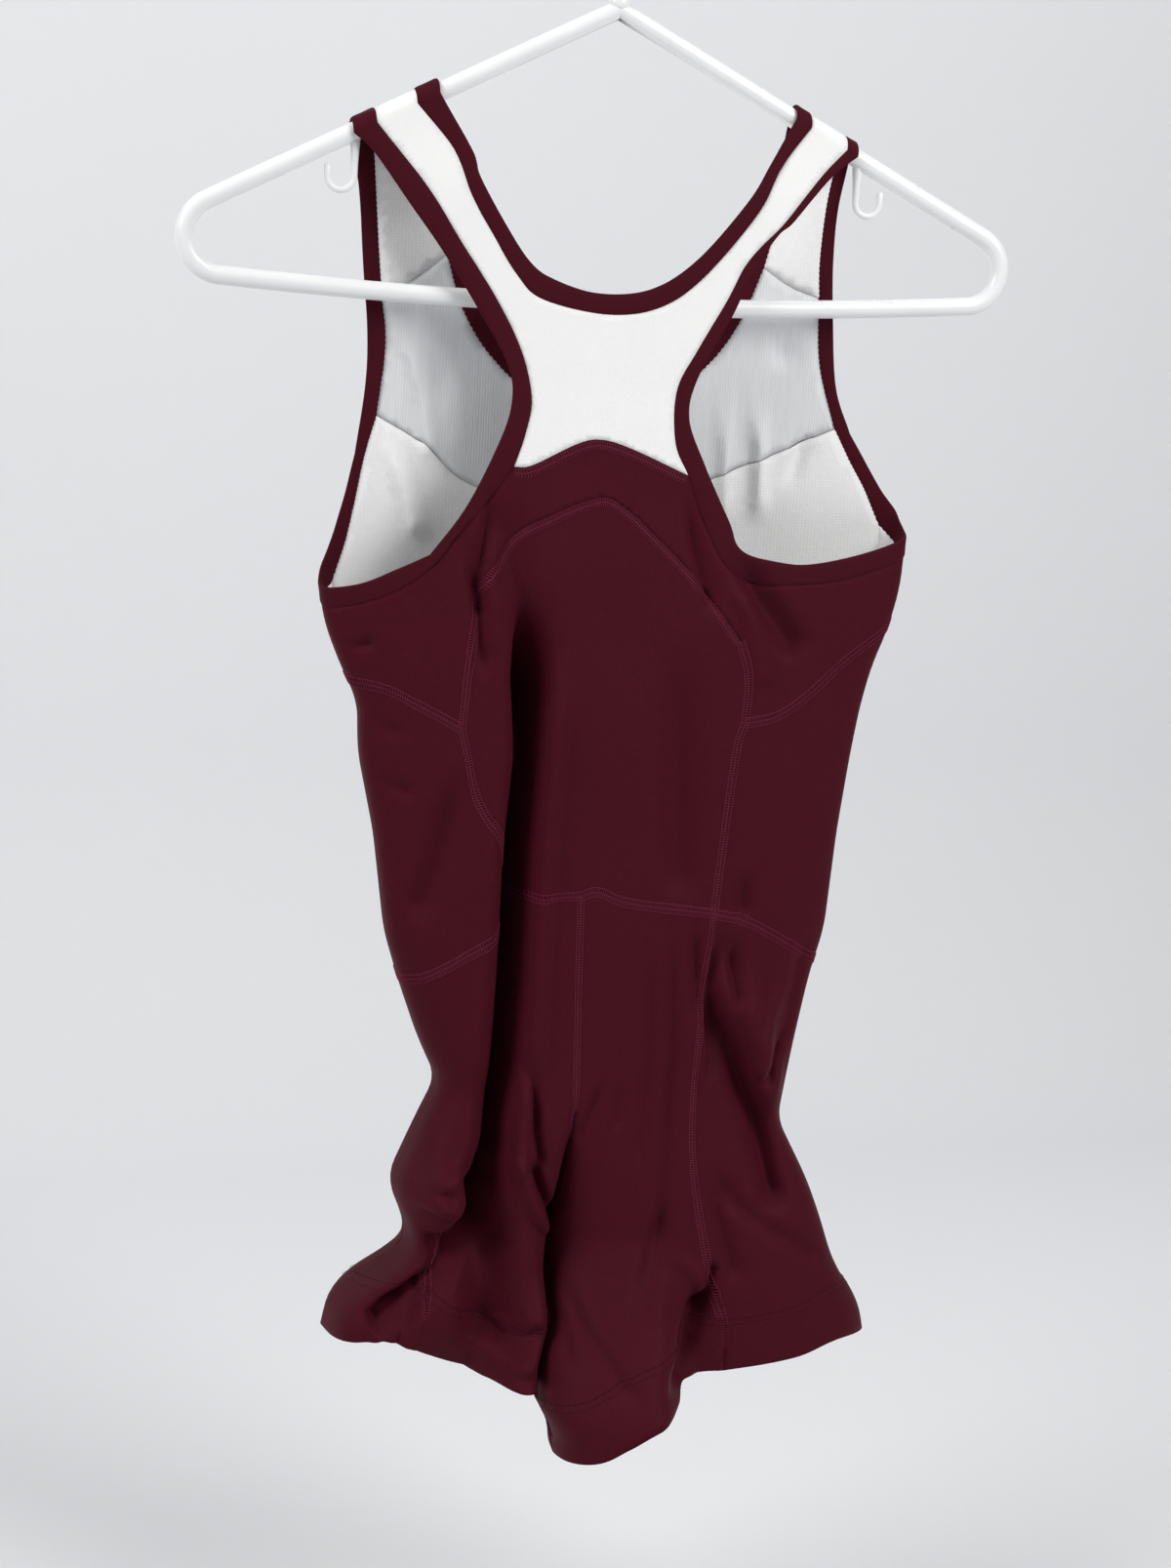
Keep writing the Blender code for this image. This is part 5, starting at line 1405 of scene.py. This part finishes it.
class LookSettings(bpy.types.PropertyGroup):
    """The colours of the suit and the hanger."""
    maroon: colour_setting("Maroon cloth", "Outside of the maroon knit", (0.0630, 0.0054, 0.0124))
    maroon_inside: colour_setting("Inside of the legs", "Wrong side of the leg panels",
                                  (0.045, 0.0045, 0.0090))
    white: colour_setting("White cloth", "Yoke and straps", (0.90, 0.90, 0.895))
    lining: colour_setting("Lining", "White inside of the body panels", (0.89, 0.89, 0.89))
    mesh: colour_setting("Sheer mesh", "Upper front, seen from inside", (0.80, 0.81, 0.83))
    binding: colour_setting("Binding", "Neck and armhole tape", (0.057, 0.0052, 0.0118))
    thread: colour_setting("Seam thread", "Flatlock stitching", (0.160, 0.020, 0.045))
    hem_thread: colour_setting("Hem thread", "Stitches of the turned hems", (0.044, 0.0042, 0.0092))
    plastic: colour_setting("Hanger plastic", "Moulded white plastic", (0.88, 0.885, 0.89))
    paper: colour_setting("Studio paper", "Floor and backdrop", (0.82, 0.83, 0.845))


class ClothSettings(bpy.types.PropertyGroup):
    """The sizes of the cloth and its stitching."""
    back_spacing: length_setting("Back mesh spacing", "Distance between points of the back",
                                 0.0024, 0.0015, 0.02)
    front_spacing: length_setting("Front mesh spacing", "Distance between points of the front",
                                  0.0042, 0.002, 0.02)
    line_step: length_setting("Seam line step", "Distance between points of seam lines",
                              0.0015, 0.0005, 0.02)
    stand_off: length_setting("Stand-off", "Outside of the cloth over the solids' inner face",
                              0.0012, 0.0, 0.003)
    thickness: length_setting("Cloth thickness", "Thickness of the knit", 0.0008, 0.0002, 0.002)
    mesh_thickness: length_setting("Mesh thickness", "Thickness of the sheer mesh", 0.0004, 0.0002, 0.002)
    tape_step: length_setting("Tape step", "Distance between rows of points along a binding",
                              0.0006, 0.0003, 0.01)
    tape_thickness: length_setting("Tape thickness", "Thickness of the folded binding",
                                   0.0015, 0.0005, 0.003)
    scallop_pitch: length_setting("Scallop pitch", "Pitch of the tape's scalloped inner edge",
                                  0.0024, 0.001, 0.01)
    thread_width: length_setting("Thread width", "Thickness of the seam thread", 0.00048, 0.0001, 0.002)
    stitch_pitch: length_setting("Stitch pitch", "Distance between the rungs of a seam",
                                 0.0013, 0.0005, 0.01)
    hem_depth: length_setting("Hem depth", "Height of the turned hem", 0.026, 0.005, 0.06)


class StageSettings(bpy.types.PropertyGroup):
    """The studio and the camera."""
    lens: FloatProperty(name="Lens", description="Focal length of the camera in millimetres",
                        default=67.2, min=10, max=300, subtype="DISTANCE_CAMERA")
    left: power_setting("Left light", "Power of the softbox at the camera's left", 20.0)
    right: power_setting("Right light", "Power of the softbox at the camera's right", 21.8)
    backdrop: power_setting("Backdrop light", "Power of the light on the backdrop", 10.0)
    world: FloatProperty(name="Ambient light", description="Strength of the even light of the studio",
                         default=0.16, min=0, max=5)


def settings(context):
    scene = context.scene
    return scene.track_suit_look, scene.track_suit_cloth, scene.track_suit_stage


# ---- Operators ----

def build_panels(context, names):
    look, cloth, _ = settings(context)
    finishes = finishes_of(look)
    for name in names:
        cloth_panel(name, finishes, cloth)


class TRACKSUIT_OT_hanger(bpy.types.Operator):
    """Builds the hanger: its frame, its hook and its two small strap hooks"""
    bl_idname = "tracksuit.hanger"
    bl_label = "Hanger"

    def execute(self, context):
        look = settings(context)[0]
        finish = finishes_of(look)["hanger_plastic"]
        whole = tube_piece("hanger_frame", frame_path(), TUBE_R, finish, cyclic=True)
        hook = hook_path()
        shares = np.linspace(0, 1, len(hook))
        hook_radii = HOOK_TUBE_R + HOOK_FLARE * ease((0.10 - shares) / 0.10)
        tube_piece("hanger_hook", hook, hook_radii, finish)
        for name, side in (("strap_hook_left", -1), ("strap_hook_right", 1)):
            path = cup_path(side)
            run = np.linspace(0, 1, len(path))
            radii = CUP_WIRE_R + CUP_FLARE * ease((0.34 - run) / 0.34)
            tube_piece(name, path, radii, finish)
        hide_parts("hanger")
        return {"FINISHED"}


class TRACKSUIT_OT_yoke(bpy.types.Operator):
    """Builds the white yoke of the back and the white straps of the front"""
    bl_idname = "tracksuit.yoke"
    bl_label = "Yoke and Straps"

    def execute(self, context):
        build_panels(context, ("back_yoke_cloth", "front_strap_left_cloth", "front_strap_right_cloth"))
        return {"FINISHED"}


class TRACKSUIT_OT_back(bpy.types.Operator):
    """Builds the maroon panels of the back above the waist"""
    bl_idname = "tracksuit.back"
    bl_label = "Back Panels"

    def execute(self, context):
        build_panels(context, ("back_upper_band_cloth", "back_center_cloth", "side_panel_left_cloth",
                               "side_panel_right_cloth"))
        return {"FINISHED"}


class TRACKSUIT_OT_legs(bpy.types.Operator):
    """Builds the seat panels and the outer panels of the legs"""
    bl_idname = "tracksuit.legs"
    bl_label = "Seat and Leg Panels"

    def execute(self, context):
        build_panels(context, ("seat_panel_left_cloth", "seat_panel_right_cloth", "outer_leg_left_cloth",
                               "outer_leg_right_cloth"))
        return {"FINISHED"}


class TRACKSUIT_OT_front(bpy.types.Operator):
    """Builds the front: its sheer mesh, its body and its legs"""
    bl_idname = "tracksuit.front"
    bl_label = "Front Panels"

    def execute(self, context):
        build_panels(context, ("front_sheer_mesh", "front_body_cloth", "front_leg_left_cloth",
                               "front_leg_right_cloth"))
        return {"FINISHED"}


class TRACKSUIT_OT_bindings(bpy.types.Operator):
    """Builds the folded tapes round the neck and the armholes"""
    bl_idname = "tracksuit.bindings"
    bl_label = "Bindings"

    def execute(self, context):
        look, cloth, _ = settings(context)
        finishes = finishes_of(look)
        for name in BINDINGS:
            tape(name, finishes, cloth)
        return {"FINISHED"}


class TRACKSUIT_OT_stitches(bpy.types.Operator):
    """Sews the flatlock seams and the hems"""
    bl_idname = "tracksuit.stitches"
    bl_label = "Stitches"

    def execute(self, context):
        look, cloth, _ = settings(context)
        finishes = finishes_of(look)
        for name in SEAMS:
            flatlock(name, finishes, cloth)
        for name in HEMS:
            hem_stitches(name, finishes, cloth)
        return {"FINISHED"}


# The camera: where it stands, where it looks and how far it is rolled. Then the studio, in metres.
CAMERA_AT = (-0.3970, -1.3869, -0.1920)
CAMERA_YAW = -16.0
CAMERA_PITCH = 10.0
CAMERA_ROLL = 2.56
FLOOR_Z = -0.93
BACKDROP_Y = 0.88
BACKDROP_CURVE = 0.30
STUDIO_HALF = 2.6
STUDIO_FRONT = -2.6
STUDIO_TOP = 1.6
LIGHT_TURN = 56.0
LIGHT_DISTANCE = 1.5
LIGHT_Z = 0.60
LIGHT_AIM = (0.0, 0.0, -0.34)
LIGHT_SIZE = (0.8, 1.1)
BACKDROP_LIGHT_AT = (0.3, 0.15, 1.35)
BACKDROP_LIGHT_AIM = (0.4, 0.95, -0.60)
BACKDROP_LIGHT_SIZE = (2.4, 0.5)
LIGHT_COLOUR = (1.0, 0.995, 0.985)
BACKDROP_LIGHT_COLOUR = (0.97, 0.985, 1.0)
AIR_COLOUR = (0.95, 0.97, 1.0, 1.0)


def area_light(name, at, aim, size, power, colour):
    lamp = bpy.data.lights.new(name, "AREA")
    lamp.shape = "RECTANGLE"
    lamp.size, lamp.size_y = size
    lamp.energy = power
    lamp.color = colour
    lamp_object = bpy.data.objects.new(name, lamp)
    bpy.context.scene.collection.objects.link(lamp_object)
    lamp_object.location = at
    lamp_object.rotation_euler = (Vector(aim) - Vector(at)).to_track_quat("-Z", "Y").to_euler()


class TRACKSUIT_OT_stage(bpy.types.Operator):
    """Sets the studio: paper floor and backdrop, soft lights and the camera"""
    bl_idname = "tracksuit.stage"
    bl_label = "Studio"

    def execute(self, context):
        look, _, stage = settings(context)
        self.backdrop(look)
        self.lights(context, stage)
        self.camera(context, stage)
        return {"FINISHED"}

    def backdrop(self, look):
        profile = [(STUDIO_FRONT, FLOOR_Z), (-1.0, FLOOR_Z), (0.0, FLOOR_Z)]
        for angle in np.linspace(0, math.pi / 2, 25):
            profile.append((BACKDROP_Y + BACKDROP_CURVE * math.sin(angle),
                            FLOOR_Z + BACKDROP_CURVE * (1 - math.cos(angle))))
        profile.append((BACKDROP_Y + BACKDROP_CURVE, STUDIO_TOP))
        points = [(x, y, z) for y, z in profile for x in (-STUDIO_HALF, STUDIO_HALF)]
        faces = [(2 * i, 2 * i + 1, 2 * i + 3, 2 * i + 2) for i in range(len(profile) - 1)]
        mesh = bpy.data.meshes.new("studio_paper")
        mesh.from_pydata(points, [], faces)
        mesh.shade_smooth()
        mesh.materials.append(paper("studio_paper", look.paper))
        sheet = bpy.data.objects.new("studio_paper", mesh)
        bpy.context.scene.collection.objects.link(sheet)

    def lights(self, context, stage):
        for name, turn, power in (("left_light", -LIGHT_TURN, stage.left),
                                  ("right_light", LIGHT_TURN, stage.right)):
            bearing = math.radians(CAMERA_YAW + turn)
            at = (math.sin(bearing) * LIGHT_DISTANCE, -math.cos(bearing) * LIGHT_DISTANCE, LIGHT_Z)
            area_light(name, at, LIGHT_AIM, LIGHT_SIZE, power, LIGHT_COLOUR)
        area_light("backdrop_light", BACKDROP_LIGHT_AT, BACKDROP_LIGHT_AIM, BACKDROP_LIGHT_SIZE,
                   stage.backdrop, BACKDROP_LIGHT_COLOUR)
        world = bpy.data.worlds.new("studio_air")
        world.use_nodes = True
        air = world.node_tree.nodes["Background"]
        air.inputs["Color"].default_value = AIR_COLOUR
        air.inputs["Strength"].default_value = stage.world
        context.scene.world = world
        context.scene.view_settings.view_transform = "Standard"

    def camera(self, context, stage):
        lens = bpy.data.cameras.new("studio_camera")
        lens.lens = stage.lens
        lens.sensor_width = 36.0
        camera = bpy.data.objects.new("studio_camera", lens)
        context.scene.collection.objects.link(camera)
        yaw, pitch, roll_angle = (math.radians(a) for a in (CAMERA_YAW, CAMERA_PITCH, CAMERA_ROLL))
        right = Vector((math.cos(yaw), math.sin(yaw), 0.0))
        ahead = Vector((-math.sin(yaw) * math.cos(pitch), math.cos(yaw) * math.cos(pitch), -math.sin(pitch)))
        up = right.cross(ahead)
        rolled_right = right * math.cos(roll_angle) + up * math.sin(roll_angle)
        rolled_up = up * math.cos(roll_angle) - right * math.sin(roll_angle)
        turn = Matrix((rolled_right, rolled_up, -ahead)).transposed().to_4x4()
        camera.matrix_world = Matrix.Translation(CAMERA_AT) @ turn
        lens.dof.use_dof = False
        context.scene.camera = camera


class TRACKSUIT_PT_panel(bpy.types.Panel):
    """Lists the operators in the sidebar"""
    bl_idname = "TRACKSUIT_PT_panel"
    bl_label = "Track Suit"
    bl_space_type = "VIEW_3D"
    bl_region_type = "UI"
    bl_category = "Track Suit"

    def draw(self, context):
        layout = self.layout
        for operator in OPERATORS:
            layout.operator(operator.bl_idname)
        for group in settings(context):
            box = layout.box()
            for name in group.bl_rna.properties.keys():
                if name not in {"rna_type", "name"}:
                    box.prop(group, name)


OPERATORS = (TRACKSUIT_OT_hanger, TRACKSUIT_OT_yoke, TRACKSUIT_OT_back, TRACKSUIT_OT_legs,
             TRACKSUIT_OT_front, TRACKSUIT_OT_bindings, TRACKSUIT_OT_stitches, TRACKSUIT_OT_stage)
CLASSES = (LookSettings, ClothSettings, StageSettings) + OPERATORS + (TRACKSUIT_PT_panel,)


def register():
    for kind in CLASSES:
        bpy.utils.register_class(kind)
    bpy.types.Scene.track_suit_look = PointerProperty(type=LookSettings)
    bpy.types.Scene.track_suit_cloth = PointerProperty(type=ClothSettings)
    bpy.types.Scene.track_suit_stage = PointerProperty(type=StageSettings)


def unregister():
    del bpy.types.Scene.track_suit_stage
    del bpy.types.Scene.track_suit_cloth
    del bpy.types.Scene.track_suit_look
    for kind in reversed(CLASSES):
        bpy.utils.unregister_class(kind)


def main():
    register()
    bpy.ops.tracksuit.hanger()
    bpy.ops.tracksuit.yoke()
    bpy.ops.tracksuit.back()
    bpy.ops.tracksuit.legs()
    bpy.ops.tracksuit.front()
    bpy.ops.tracksuit.bindings()
    bpy.ops.tracksuit.stitches()
    bpy.ops.tracksuit.stage()


if __name__ == "__main__":
    main()
